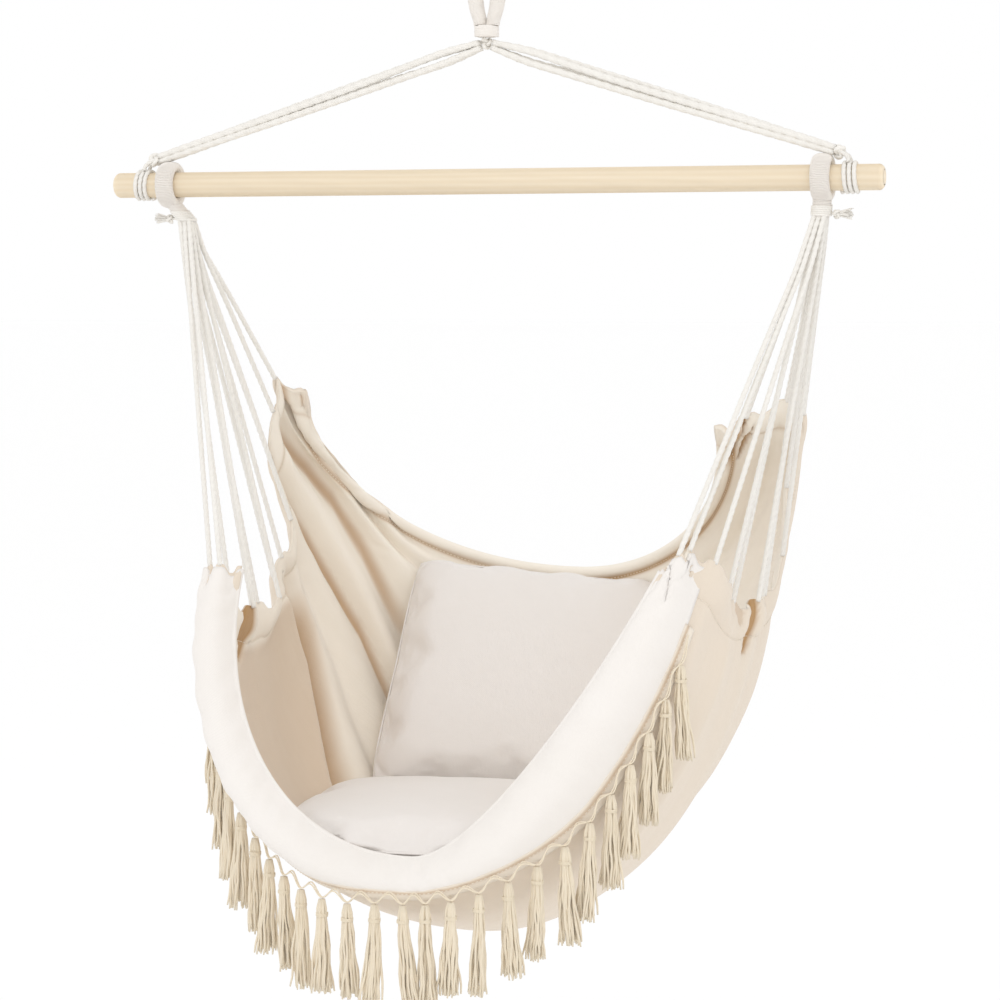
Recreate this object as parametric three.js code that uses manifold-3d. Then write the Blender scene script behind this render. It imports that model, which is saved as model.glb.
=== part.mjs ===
import * as THREE from 'three';
import { mergeVertices } from 'three/addons/utils/BufferGeometryUtils.js';
import Module from 'manifold-3d';

// Hanging hammock chair: a cotton sling on two fans of cord under a wooden spreader bar, all
// hung by one served rope eye. Lengths are millimetres. The origin is the hook seat, the inside
// of the crown of the hanging loop; +X runs along the bar, +Y to the back of the seat, +Z up.

// Spreader bar
const barLength = 1000;
const barDiameter = 30;
const barEndRound = 6;
const barDrop = 285;

// Hanging loop, its neck and the swivel point under it
const loopDiameter = 20;
const loopOpeningWidth = 28;
const loopLegSpread = 31;
const pivotDrop = 114;
const crownKnotRadius = 9;
const neckDiameter = 25.5;
const neckLength = 15;
const neckRise = 7.2;
const neckChamfer = 1.6;
const seizingDiameter = 2.6;
const seizingTurns = 4;

// Suspension strands, their knots and the turns round the bar
const strandDiameter = 6;
const strandPitch = 6.4;
const knotDiameter = 15;
const knotLength = 12;
const hitchDiameter = 5;
const hitchInset = 42;
const hitchTurns = 3;

// Collars on the bar, and the necks that the cords fan out from
const collarInset = 75.5;
const collarWidth = 29;
const collarWall = 14;
const collarNeckDrop = 47;
const collarNeckWidth = 20;
const collarNeckDepth = 31;
const leftNeckLean = 24;
const rightNeckLean = 2;
const whippingDiameter = 2.6;
const whippingTurns = 4;
const tailKnotDiameter = 12;
const tailCordDiameter = 5;
const tailLength = 27;
const tailFlare = 16;

// Fan cords
const cordDiameter = 5.4;
const cordColumnPitch = 6;
const cordRowPitch = 6.1;

// Sling cloth, measured from the middle of the bar
const hemReach = 350;
const seatReach = 450;
const bowlDrop = 920;
const clothThickness = 3;
const foldDepth = 11;
const foldCount = 5;
const scallopDepth = 13;

// Fringe
const fringeStandOff = 9.5;
const fringeCordDiameter = 2.4;
const scallopCordDrop = 14;
const tasselCount = 25;
const tasselLength = 116;
const tasselHeadDiameter = 13;
const tasselWaistDiameter = 9;
const tasselSpread = 27;

// Cushions
const cushionSide = 378;
const seatCushionCrown = 147;
const backCushionCrown = 128;
const cushionPull = 20;
const cushionEdge = 3;
const seatCushionLift = 60;
const seatCushionAdvance = 22;

// Running clearances between pieces
const seatGap = 0.35;
const ovalGap = 0.6;
const restGap = 0.8;
const liftGap = 2.5;
const turnGap = 0.5;

const barRadius = barDiameter / 2;
const hitchPlace = barLength / 2 - hitchInset;
const collarPlace = barLength / 2 - collarInset;
const pivotRise = barDrop - pivotDrop;
const hitchWindRadius = barRadius + turnGap + hitchDiameter / 2;
const collarBore = barRadius + seatGap;
const collarOuter = collarBore + collarWall;

const cotton = new THREE.MeshStandardMaterial({ color: 0xf2ede2, roughness: 0.95, metalness: 0 });
const cordCotton = new THREE.MeshStandardMaterial({ color: 0xeee7d6, roughness: 0.9, metalness: 0 });
const fringeCotton = new THREE.MeshStandardMaterial({ color: 0xe6dac0, roughness: 0.95, metalness: 0 });
const pine = new THREE.MeshStandardMaterial({ color: 0xeddcb8, roughness: 0.6, metalness: 0 });

const wasm = await Module();
wasm.setup();

const chair = new THREE.Group();
const hung = new THREE.Group();
hung.position.z = -barDrop;
chair.add(hung);

/** Adds one named piece to the bar's frame, with a material of its own. */
function addPiece(name, geometry, material) {
  const mesh = new THREE.Mesh(geometry, material.clone());
  mesh.name = name;
  hung.add(mesh);
  return mesh;
}

/** Merges the corners of a geometry, so that it is one closed skin. */
function closed(geometry) {
  const bare = geometry.index ? geometry.clone() : geometry;
  bare.deleteAttribute('normal');
  bare.deleteAttribute('uv');
  return mergeVertices(bare);
}

/** The solid of a closed geometry. */
function solidOf(geometry) {
  const skin = closed(geometry);
  const vertProperties = new Float32Array(skin.attributes.position.array);
  const triVerts = new Uint32Array(skin.index.array);
  return new wasm.Manifold(new wasm.Mesh({ numProp: 3, vertProperties, triVerts }));
}

/** Joins overlapping closed geometries into one. */
function join(geometries) {
  const mesh = geometries.map(solidOf).reduce((whole, solid) => whole.add(solid)).getMesh();
  const geometry = new THREE.BufferGeometry();
  geometry.setAttribute('position', new THREE.BufferAttribute(mesh.vertProperties, 3));
  geometry.setIndex(new THREE.BufferAttribute(mesh.triVerts, 1));
  return geometry;
}

/** A round section of a cord with the given number of flats. */
function roundSection(diameter, sides) {
  const section = new THREE.Shape();
  for (let side = 0; side < sides; side += 1) {
    const angle = (2 * Math.PI * side) / sides;
    const x = (diameter / 2) * Math.cos(angle);
    const y = (diameter / 2) * Math.sin(angle);
    if (side === 0) section.moveTo(x, y);
    else section.lineTo(x, y);
  }
  return section;
}

/** A solid cord along a list of points. */
function cordAlong(points, diameter, sides, steps) {
  const extrudePath = new THREE.CatmullRomCurve3(points, false, 'centripetal');
  return new THREE.ExtrudeGeometry(roundSection(diameter, sides), { steps, bevelEnabled: false, extrudePath });
}

/** A closed skin over rings of points that have equal counts, capped by its first and last ring. */
function loft(rings) {
  const count = rings[0].length;
  const positions = rings.flat().flatMap((point) => [point.x, point.y, point.z]);
  const indices = [];
  for (let row = 0; row < rings.length - 1; row += 1) {
    for (let column = 0; column < count; column += 1) {
      const next = (column + 1) % count;
      const a = row * count + column;
      const b = row * count + next;
      indices.push(a, b, b + count, a, b + count, a + count);
    }
  }
  const top = (rings.length - 1) * count;
  for (let column = 1; column < count - 1; column += 1) {
    indices.push(0, column + 1, column);
    indices.push(top, top + column, top + column + 1);
  }
  const geometry = new THREE.BufferGeometry();
  geometry.setAttribute('position', new THREE.Float32BufferAttribute(positions, 3));
  geometry.setIndex(indices);
  return geometry;
}

/** A turned solid whose axis starts at a point and runs along a direction. */
function turned(profile, segments, start, direction) {
  const geometry = new THREE.LatheGeometry(profile.map(([radius, along]) => new THREE.Vector2(radius, along)), segments);
  const up = new THREE.Vector3(0, 1, 0);
  geometry.applyQuaternion(new THREE.Quaternion().setFromUnitVectors(up, direction.clone().normalize()));
  geometry.translate(start.x, start.y, start.z);
  return geometry;
}

/** A winding: one unbroken cord in even turns on a core whose section is an oval. */
function winding(turns, pitch, diameter, place) {
  const stepsPerTurn = 20;
  const sides = 5;
  const points = [];
  for (let step = 0; step <= turns * stepsPerTurn; step += 1) {
    points.push(place((2 * Math.PI * step) / stepsPerTurn, (pitch * step) / stepsPerTurn));
  }
  let least = Infinity;
  for (let first = 0; first < points.length; first += 1) {
    for (let second = first + stepsPerTurn / 2; second < points.length; second += 1) {
      least = Math.min(least, points[first].distanceTo(points[second]) - diameter);
    }
  }
  console.log(`winding of ${turns} turns, least gap to itself ${least.toFixed(2)} mm`);
  const extrudePath = new THREE.CatmullRomCurve3(points, false, 'centripetal');
  const steps = turns * stepsPerTurn;
  return new THREE.ExtrudeGeometry(roundSection(diameter, sides), { steps, bevelEnabled: false, extrudePath });
}

/** The triangles of a geometry as a flat list of corners. */
function trianglesOf(geometry) {
  const position = geometry.attributes.position;
  const index = geometry.index;
  const corners = [];
  for (let corner = 0; corner < index.count; corner += 1) {
    corners.push(new THREE.Vector3().fromBufferAttribute(position, index.getX(corner)));
  }
  return corners;
}

/** How far points can travel along a direction before one of them meets the triangles. */
function freeTravel(points, direction, corners) {
  const hit = new THREE.Vector3();
  const ray = new THREE.Ray();
  let least = Infinity;
  for (const point of points) {
    ray.set(point, direction);
    for (let corner = 0; corner < corners.length; corner += 3) {
      const met = ray.intersectTriangle(corners[corner], corners[corner + 1], corners[corner + 2], false, hit);
      if (met) least = Math.min(least, point.distanceTo(hit));
    }
  }
  return least;
}

/** Moves a geometry along a direction in small steps until it is clear of a solid by about a gap. */
function moveClear(geometry, direction, solid, gap) {
  const step = direction.clone().multiplyScalar(gap / 2);
  while (!solidOf(geometry).intersect(solid).isEmpty()) geometry.translate(step.x, step.y, step.z);
  geometry.translate(step.x, step.y, step.z);
}

// Spreader bar
function makeBar() {
  const end = barLength / 2;
  const profile = [[0, -end], [barRadius - barEndRound, -end]];
  const arcSteps = 4;
  for (let step = 1; step <= arcSteps; step += 1) {
    const angle = (Math.PI / 2) * (step / arcSteps);
    profile.push([
      barRadius - barEndRound + barEndRound * Math.sin(angle),
      -end + barEndRound - barEndRound * Math.cos(angle),
    ]);
  }
  const mirrored = profile.map(([radius, along]) => [radius, -along]).reverse();
  const start = new THREE.Vector3();
  const geometry = turned([...profile, ...mirrored], 24, start, new THREE.Vector3(1, 0, 0));
  addPiece('spreader_bar', closed(geometry), pine);
}

// Hanging loop, neck and crown knot
function makeHanger() {
  const pivot = new THREE.Vector3(0, 0, pivotRise);
  const up = new THREE.Vector3(0, 0, 1);
  const seatRadius = crownKnotRadius + turnGap;
  const neckRadius = neckDiameter / 2;
  const neckTop = neckRise + neckLength;
  const mouthAngle = Math.asin(neckRise / seatRadius);
  const seatProfile = [];
  const seatSteps = 4;
  for (let step = 0; step <= seatSteps; step += 1) {
    const angle = Math.PI / 2 - (Math.PI / 2 - mouthAngle) * (step / seatSteps);
    seatProfile.push([step === 0 ? 0 : seatRadius * Math.cos(angle), seatRadius * Math.sin(angle)]);
  }
  const neckProfile = [
    ...seatProfile,
    [neckRadius - neckChamfer, neckRise],
    [neckRadius, neckRise + neckChamfer],
    [neckRadius, neckTop - neckChamfer],
    [neckRadius - neckChamfer, neckTop],
    [0, neckTop],
  ];
  addPiece('hanger_neck', closed(turned(neckProfile, 24, pivot, up)), cordCotton);

  const seizingPitch = seizingDiameter + turnGap;
  const seizingFoot = neckRise + (neckLength - seizingTurns * seizingPitch) / 2;
  const seizingRadius = neckRadius + seatGap + seizingDiameter / 2;
  const seizing = winding(seizingTurns, seizingPitch, seizingDiameter, (angle, rise) => new THREE.Vector3(
    seizingRadius * Math.cos(angle),
    seizingRadius * Math.sin(angle),
    pivotRise + seizingFoot + rise,
  ));
  addPiece('neck_seizing', closed(seizing), cordCotton);

  const knotProfile = [];
  const knotSteps = 8;
  for (let step = 0; step <= knotSteps; step += 1) {
    const angle = -Math.PI / 2 + Math.PI * (step / knotSteps);
    const onAxis = step === 0 || step === knotSteps;
    knotProfile.push([onAxis ? 0 : crownKnotRadius * Math.cos(angle), crownKnotRadius * Math.sin(angle)]);
  }
  addPiece('crown_knot', closed(turned(knotProfile, 16, pivot, up)), cordCotton);

  const foot = pivotRise + neckTop + seatGap;
  const crown = barDrop + loopDiameter / 2;
  const height = crown - foot;
  const legX = loopLegSpread / 4;
  const bulgeX = (loopOpeningWidth + loopDiameter) / 2;
  const side = [
    new THREE.Vector3(legX, 0, foot),
    new THREE.Vector3(legX, 0, foot + loopDiameter / 2),
    new THREE.Vector3((legX + bulgeX) / 2, 0, foot + height * loopRiseShares[0]),
    new THREE.Vector3(bulgeX, 0, foot + height * loopRiseShares[1]),
    new THREE.Vector3(bulgeX * loopCrownShare, 0, crown - (bulgeX - bulgeX * loopCrownShare)),
  ];
  const mirrored = side.map((point) => new THREE.Vector3(-point.x, point.y, point.z)).reverse();
  const path = new THREE.CatmullRomCurve3([...side, new THREE.Vector3(0, 0, crown), ...mirrored], false, 'centripetal');
  const depthAxis = new THREE.Vector3(0, 1, 0);
  const rings = [];
  const ringCount = 26;
  const ringSides = 12;
  for (let step = 0; step <= ringCount; step += 1) {
    const share = step / ringCount;
    const place = path.getPointAt(share);
    const widthAxis = depthAxis.clone().cross(path.getTangentAt(share)).normalize();
    const swell = THREE.MathUtils.smoothstep(Math.min(share, 1 - share), 0, loopSwellShare);
    const radius = (loopDiameter / 2) * THREE.MathUtils.lerp(loopFootShare, 1, swell);
    const ring = [];
    for (let corner = 0; corner < ringSides; corner += 1) {
      const angle = (2 * Math.PI * corner) / ringSides;
      const across = widthAxis.clone().multiplyScalar(radius * Math.cos(angle));
      ring.push(place.clone().add(across).addScaledVector(depthAxis, radius * Math.sin(angle)));
    }
    rings.push(ring);
  }
  addPiece('hanging_loop', loft(rings), cordCotton);
}

// Heights of the loop's swell as shares of its height, the width of its shoulder, the thickness
// of its legs where they enter the neck, and the share of its length over which they swell
const loopRiseShares = [0.42, 0.68];
const loopCrownShare = 0.72;
const loopFootShare = 0.75;
const loopSwellShare = 0.14;

/** Where the bundle of strands crosses a collar, and the slope it leaves the crown knot with. */
function strandLine() {
  const stackHeight = strandDiameter + strandPitch;
  let slope = (pivotRise - collarOuter) / collarPlace;
  let centre = 0;
  const rounds = 6;
  for (let round = 0; round < rounds; round += 1) {
    const reach = collarWidth / 2;
    const half = collarWall / 2;
    const offset = reach * (slope * reach) / Math.hypot(half, slope * reach);
    const crest = collarBore + half + half * Math.sqrt(1 - (offset / reach) ** 2) + slope * offset;
    centre = crest + seatGap + (stackHeight / 2) * Math.hypot(1, slope);
    slope = (pivotRise - centre) / collarPlace;
  }
  return { slope, centre };
}

// Eight suspension strands, four a side in two rows, and the knots that they end in
function makeStrands() {
  const { slope, centre } = strandLine();
  const fall = Math.atan(slope);
  const knotX = collarPlace + collarWidth / 2 + turnGap;
  const knotZ = centre - slope * (knotX - collarPlace);
  const spread = Math.asin(strandPitch / 2 / (crownKnotRadius + seatGap)) * strandSpreadShare;
  for (const [side, sign] of [['left', -1], ['right', 1]]) {
    const along = new THREE.Vector3(sign * Math.cos(fall), 0, -Math.sin(fall));
    const lift = new THREE.Vector3(sign * Math.sin(fall), 0, Math.cos(fall));
    const knotFace = new THREE.Vector3(sign * knotX, 0, knotZ);
    let number = 0;
    for (const row of [1, -1]) {
      for (const lane of [-1, 1]) {
        number += 1;
        const away = new THREE.Vector3()
          .addScaledVector(along, 1)
          .addScaledVector(lift, row * Math.tan(spread))
          .add(new THREE.Vector3(0, lane * Math.tan(spread), 0))
          .normalize();
        const start = new THREE.Vector3(0, 0, pivotRise).addScaledVector(away, crownKnotRadius + seatGap);
        const set = new THREE.Vector3().addScaledVector(lift, (row * strandPitch) / 2);
        set.y += (lane * strandPitch) / 2;
        const end = knotFace.clone().add(set).addScaledVector(along, -seatGap);
        const leave = start.clone().addScaledVector(away, strandDiameter);
        const reach = end.clone().addScaledVector(along, -strandDiameter);
        const overCollar = end.clone().addScaledVector(along, -collarWidth);
        const middle = new THREE.Vector3(0, 0, pivotRise).lerp(knotFace, strandFanPlaceShare);
        middle.addScaledVector(lift, (row + lane / 2) * strandPitch * strandFanShare);
        middle.y += lane * strandPitch;
        const geometry = cordAlong([start, leave, middle, overCollar, reach, end], strandDiameter, 8, 9);
        addPiece(`strand_${side}_${number}`, closed(geometry), cordCotton);
      }
    }
    const radius = knotDiameter / 2;
    const profile = [
      [0, 0],
      [radius * knotShares[0], 0],
      [radius, knotLength * knotShares[1]],
      [radius, knotLength * knotShares[2]],
      [radius * knotShares[3], knotLength],
      [0, knotLength],
    ];
    addPiece(`strand_knot_${side}`, closed(turned(profile, 14, knotFace, along)), cordCotton);
  }
}

// Radii and places of a strand knot, as shares of its own radius and length
const knotShares = [0.88, 0.25, 0.6, 0.62];
const strandSpreadShare = 1.06;

// Where the four strands of a side lie over one another, and how far apart in strand pitches
const strandFanPlaceShare = 0.42;
const strandFanShare = 0.72;

// Turns of cord round the bar, outside each collar
function makeHitches() {
  const pitch = hitchDiameter + turnGap;
  for (const [side, sign] of [['left', -1], ['right', 1]]) {
    const foot = hitchPlace - (hitchTurns * pitch) / 2;
    const geometry = winding(hitchTurns, pitch, hitchDiameter, (angle, rise) => new THREE.Vector3(
      sign * (foot + rise),
      hitchWindRadius * Math.sin(angle),
      -hitchWindRadius * Math.cos(angle),
    ));
    addPiece(`bar_hitch_${side}`, closed(geometry), cordCotton);
  }
}

/** The sideways place of a collar's neck at a share of its drop. */
function neckCentre(sign, share) {
  const lean = sign < 0 ? leftNeckLean : rightNeckLean;
  return sign * collarPlace - sign * lean * share;
}

/** An oval ring of points round a collar's neck at a share of its drop. */
function neckRing(sign, share, grow, sides) {
  const top = collarBore + collarWall * neckShares[0];
  const width = THREE.MathUtils.lerp(collarWidth * neckShares[1], collarNeckWidth, share);
  const depth = THREE.MathUtils.lerp(collarWidth * neckShares[2], collarNeckDepth, share);
  const drop = THREE.MathUtils.lerp(top, collarNeckDrop, share);
  const ring = [];
  for (let side = 0; side < sides; side += 1) {
    const angle = (2 * Math.PI * side) / sides;
    ring.push(new THREE.Vector3(
      neckCentre(sign, share) + (width / 2 + grow) * Math.cos(angle),
      (depth / 2 + grow) * Math.sin(angle),
      -drop,
    ));
  }
  return ring;
}

// Where the neck starts in the collar's wall, and its upper width and depth, as shares
const neckShares = [0.3, 0.86, 0.8];

// Collars: an eye on the bar that turns on it, with a neck, its whipping and a tied tail
function makeCollars() {
  for (const [side, sign] of [['left', -1], ['right', 1]]) {
    const profile = [];
    const sectionSteps = 10;
    for (let step = 0; step <= sectionSteps; step += 1) {
      const angle = (-2 * Math.PI * (step % sectionSteps)) / sectionSteps;
      profile.push([
        collarBore + collarWall / 2 + (collarWall / 2) * Math.cos(angle),
        (-collarWidth / 2) * Math.sin(angle),
      ]);
    }
    const place = new THREE.Vector3(sign * collarPlace, 0, 0);
    const eye = turned(profile, 24, place, new THREE.Vector3(1, 0, 0));
    const rings = [];
    const neckSteps = 3;
    for (let step = 0; step <= neckSteps; step += 1) rings.push(neckRing(sign, 1 - step / neckSteps, 0, 20));
    addPiece(`collar_${side}`, join([eye, loft(rings)]), cordCotton);

    const pitch = whippingDiameter + turnGap;
    const top = collarBore + collarWall * neckShares[0];
    const foot = collarNeckDrop - whippingDiameter / 2 - whippingTurns * pitch;
    const grow = ovalGap + whippingDiameter / 2;
    const whipping = winding(whippingTurns, pitch, whippingDiameter, (angle, rise) => {
      const share = (foot + rise - top) / (collarNeckDrop - top);
      const width = THREE.MathUtils.lerp(collarWidth * neckShares[1], collarNeckWidth, share) / 2 + grow;
      const depth = THREE.MathUtils.lerp(collarWidth * neckShares[2], collarNeckDepth, share) / 2 + grow;
      return new THREE.Vector3(
        neckCentre(sign, share) + width * Math.cos(angle),
        depth * Math.sin(angle),
        -foot - rise,
      );
    });
    const whippingSkin = closed(whipping);
    addPiece(`collar_whipping_${side}`, whippingSkin, cordCotton);

    const knotRadius = tailKnotDiameter / 2;
    const cordRadius = tailCordDiameter / 2;
    const flareRadius = tailFlare / 2;
    const tail = [
      [0, 0],
      [knotRadius * tailShares[0], 0],
      [knotRadius, knotRadius * tailShares[1]],
      [knotRadius * tailShares[0], tailKnotDiameter * tailShares[2]],
      [cordRadius, tailKnotDiameter],
      [flareRadius * tailShares[3], tailLength * tailShares[4]],
      [flareRadius, tailLength],
      [0, tailLength],
    ];
    const rootDrop = collarNeckDrop - knotRadius * tailRootShare;
    const root = new THREE.Vector3(neckCentre(sign, 1) + (sign * collarNeckWidth) / 2, 0, -rootDrop);
    const outward = new THREE.Vector3(sign, 0, 0);
    const knot = closed(turned(tail, 12, root, outward));
    moveClear(knot, outward, solidOf(whippingSkin), seatGap);
    addPiece(`tail_knot_${side}`, knot, cordCotton);
  }
}

// Shape of the tied tail, as shares of its knot, its flare and its length
const tailShares = [0.7, 0.7, 0.75, 0.62, 0.7];
const tailRootShare = 0.55;

// The side hems, front to back: sideways, backward and downward places of the cord stations,
// as shares of the hem's reach, the seat's reach and the bowl's drop
const leftHemShares = [
  [-0.73, -0.42, -0.513], [-0.784, -0.472, -0.509], [-0.838, -0.449, -0.511], [-0.784, -0.341, -0.563],
  [-0.798, -0.253, -0.573], [-0.818, -0.154, -0.578], [-0.828, -0.066, -0.578], [-0.838, 0.023, -0.573],
  [-0.848, 0.101, -0.548], [-0.867, 0.18, -0.524], [-0.897, 0.249, -0.475], [-0.936, 0.298, -0.396],
  [-0.956, 0.278, -0.322], [-0.948, 0.271, -0.266], [-0.85, 0.311, -0.303],
];
const rightHemShares = [
  [0.814, -0.518, -0.499], [0.863, -0.503, -0.481], [0.907, -0.474, -0.475], [0.942, -0.39, -0.494],
  [0.961, -0.282, -0.529], [0.986, -0.184, -0.553], [0.996, -0.095, -0.553], [1.01, -0.017, -0.553],
  [1.025, 0.052, -0.553], [1.005, 0.16, -0.504], [1.04, 0.239, -0.416], [1.084, 0.288, -0.312],
  [1.025, 0.268, -0.303], [0.883, 0.195, -0.312], [0.784, 0.16, -0.332],
];

// The middle of the sling from the front rim to the back hem, in the same shares
const middleShares = [
  [0.037, -0.769, -0.863], [0.057, -0.852, -0.899], [0.106, -0.656, -0.951], [0.175, -0.341, -0.986],
  [0.204, -0.027, -0.971], [0.185, 0.298, -0.887], [0.135, 0.593, -0.75], [0.086, 0.77, -0.612],
  [0.057, 0.829, -0.556],
];

// How straight each half of the sling hangs between its hem and its middle
const leftStraightShare = -0.12;
const rightStraightShare = 0.16;
const rimStraightShare = 0.8;
const rimBlendShare = 0.3;
const bowlRoundShare = 0.25;

/** A smooth line through places given in shares. */
function shareCurve(shares) {
  const points = shares.map(([across, back, down]) => (
    new THREE.Vector3(across * hemReach, back * seatReach, down * bowlDrop)
  ));
  return new THREE.CatmullRomCurve3(points, false, 'centripetal');
}

const leftHem = shareCurve(leftHemShares);
const rightHem = shareCurve(rightHemShares);
const middleLine = shareCurve(middleShares);

/** The sling without folds: u runs from the left hem at -1 to the right at 1, v front to back. */
function smoothSling(u, v) {
  const middle = middleLine.getPoint(v);
  const hem = (u < 0 ? leftHem : rightHem).getPoint(v);
  const rimward = u < 0 ? 0 : 1 - THREE.MathUtils.smoothstep(v, 0, rimBlendShare);
  const straight = THREE.MathUtils.lerp(u < 0 ? leftStraightShare : rightStraightShare, rimStraightShare, rimward);
  const reach = Math.abs(u);
  const turn = (reach * Math.PI) / 2;
  const level = Math.hypot(reach, bowlRoundShare) - bowlRoundShare;
  const fullLevel = Math.hypot(1, bowlRoundShare) - bowlRoundShare;
  const outShare = THREE.MathUtils.lerp(Math.sin(turn), reach, straight);
  const upShare = THREE.MathUtils.lerp(1 - Math.cos(turn), level / fullLevel, straight);
  return new THREE.Vector3(
    THREE.MathUtils.lerp(middle.x, hem.x, outShare),
    THREE.MathUtils.lerp(middle.y, hem.y, upShare),
    THREE.MathUtils.lerp(middle.z, hem.z, upShare),
  );
}

/** The outward normal of a surface given as a function of u and v. */
function normalOf(surface, u, v) {
  const small = 1e-3;
  const u0 = Math.max(-1, u - small);
  const u1 = Math.min(1, u + small);
  const v0 = Math.max(0, v - small);
  const v1 = Math.min(1, v + small);
  const across = surface(u1, v).sub(surface(u0, v));
  const back = surface(u, v1).sub(surface(u, v0));
  return back.cross(across).normalize();
}

/** The sling with its main folds, which start at the hems and fade towards the seat. */
function sling(u, v) {
  const point = smoothSling(u, v);
  const normal = normalOf(smoothSling, u, v);
  const nearHem = THREE.MathUtils.smoothstep(Math.abs(u), foldFadeShares[0], foldFadeShares[1]);
  const inside = THREE.MathUtils.smoothstep(v, foldFadeShares[2], foldFadeShares[3]);
  const swing = Math.sin(2 * Math.PI * foldCount * v + (u < 0 ? Math.PI / 2 : 0));
  point.addScaledVector(normal, foldDepth * nearHem * inside * swing);
  const atHem = THREE.MathUtils.smoothstep(Math.abs(u), scallopStartShare, 1);
  const between = Math.sin(Math.PI * v * (leftHemShares.length - 1)) ** 2;
  point.z -= scallopDepth * atHem * between;
  return point;
}

// Where the folds start and are full, across and back, and where the scallops start
const foldFadeShares = [0.3, 0.8, 0.05, 0.2];
const scallopStartShare = 0.86;
const acrossCells = 20;
const backCells = 28;

/** A closed sheet of the given thickness over the sling. */
function slingSheet() {
  const positions = [];
  const indices = [];
  const rowLength = acrossCells + 1;
  const layer = rowLength * (backCells + 1);
  for (const face of [1, -1]) {
    for (let row = 0; row <= backCells; row += 1) {
      for (let column = 0; column <= acrossCells; column += 1) {
        const u = -1 + (2 * column) / acrossCells;
        const v = row / backCells;
        const point = sling(u, v).addScaledVector(normalOf(sling, u, v), (face * clothThickness) / 2);
        positions.push(point.x, point.y, point.z);
      }
    }
  }
  for (let row = 0; row < backCells; row += 1) {
    for (let column = 0; column < acrossCells; column += 1) {
      const a = row * rowLength + column;
      const b = a + 1;
      const c = a + rowLength;
      const d = c + 1;
      indices.push(a, c, b, b, c, d);
      indices.push(a + layer, b + layer, c + layer, b + layer, d + layer, c + layer);
    }
  }
  const rim = [];
  for (let column = 0; column < acrossCells; column += 1) rim.push(column);
  for (let row = 0; row < backCells; row += 1) rim.push(row * rowLength + acrossCells);
  for (let column = acrossCells; column > 0; column -= 1) rim.push(backCells * rowLength + column);
  for (let row = backCells; row > 0; row -= 1) rim.push(row * rowLength);
  for (let step = 0; step < rim.length; step += 1) {
    const a = rim[step];
    const b = rim[(step + 1) % rim.length];
    indices.push(a, b, b + layer, a, b + layer, a + layer);
  }
  const geometry = new THREE.BufferGeometry();
  geometry.setAttribute('position', new THREE.Float32BufferAttribute(positions, 3));
  geometry.setIndex(indices);
  return geometry;
}

const slingGeometry = slingSheet();
const slingCorners = trianglesOf(slingGeometry);
addPiece('sling_cloth', slingGeometry, cotton);

/** Starts of the fan cords in a neck: rows of three, set in the order of the cords' slopes. */
function fanStarts(sign, tips) {
  const rowOfThree = 3;
  const starts = [];
  const slopes = tips.map((tip) => {
    const fall = -collarNeckDrop - tip.z;
    return { x: (tip.x - neckCentre(sign, 1)) / fall, y: tip.y / fall };
  });
  const frontToBack = tips.map((tip, station) => station).sort((one, other) => slopes[one].y - slopes[other].y);
  const rows = Math.ceil(tips.length / rowOfThree);
  for (let row = 0; row < rows; row += 1) {
    const stations = frontToBack.slice(row * rowOfThree, (row + 1) * rowOfThree);
    stations.sort((one, other) => slopes[one].x - slopes[other].x);
    stations.forEach((station, column) => {
      starts[station] = new THREE.Vector3(
        neckCentre(sign, 1) + (column - (stations.length - 1) / 2) * cordColumnPitch,
        (row - (rows - 1) / 2) * cordRowPitch,
        -collarNeckDrop - seatGap,
      );
    });
  }
  return starts;
}

// Fan cords from each collar's neck to the stations of the hem
function makeFan() {
  const slingSolid = solidOf(slingGeometry);
  for (const [side, sign] of [['left', -1], ['right', 1]]) {
    const tips = [];
    for (let station = 1; station < leftHemShares.length - 1; station += 1) {
      tips.push(sling(sign, station / (leftHemShares.length - 1)));
    }
    const starts = fanStarts(sign, tips);
    tips.forEach((tip, station) => {
      const start = starts[station];
      const leave = start.clone().add(new THREE.Vector3(0, 0, -cordDiameter));
      const toTip = tip.clone().sub(leave).normalize();
      const clear = tip.clone().addScaledVector(toTip, -2 * cordDiameter - clothThickness);
      const cordTo = (travel) => {
        const end = clear.clone().addScaledVector(toTip, travel);
        const square = end.clone().addScaledVector(toTip, -cordDiameter);
        const middle = leave.clone().lerp(square, 1 / 2);
        return cordAlong([start, leave, middle, square, end], cordDiameter, 8, 6);
      };
      let travel = Math.min(freeTravel([clear], toTip, slingCorners), clear.distanceTo(tip)) - seatGap;
      while (!solidOf(cordTo(travel + seatGap / 2)).intersect(slingSolid).isEmpty()) travel -= seatGap / 2;
      addPiece(`fan_cord_${side}_${station + 1}`, closed(cordTo(travel)), cordCotton);
    });
  }
}

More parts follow.
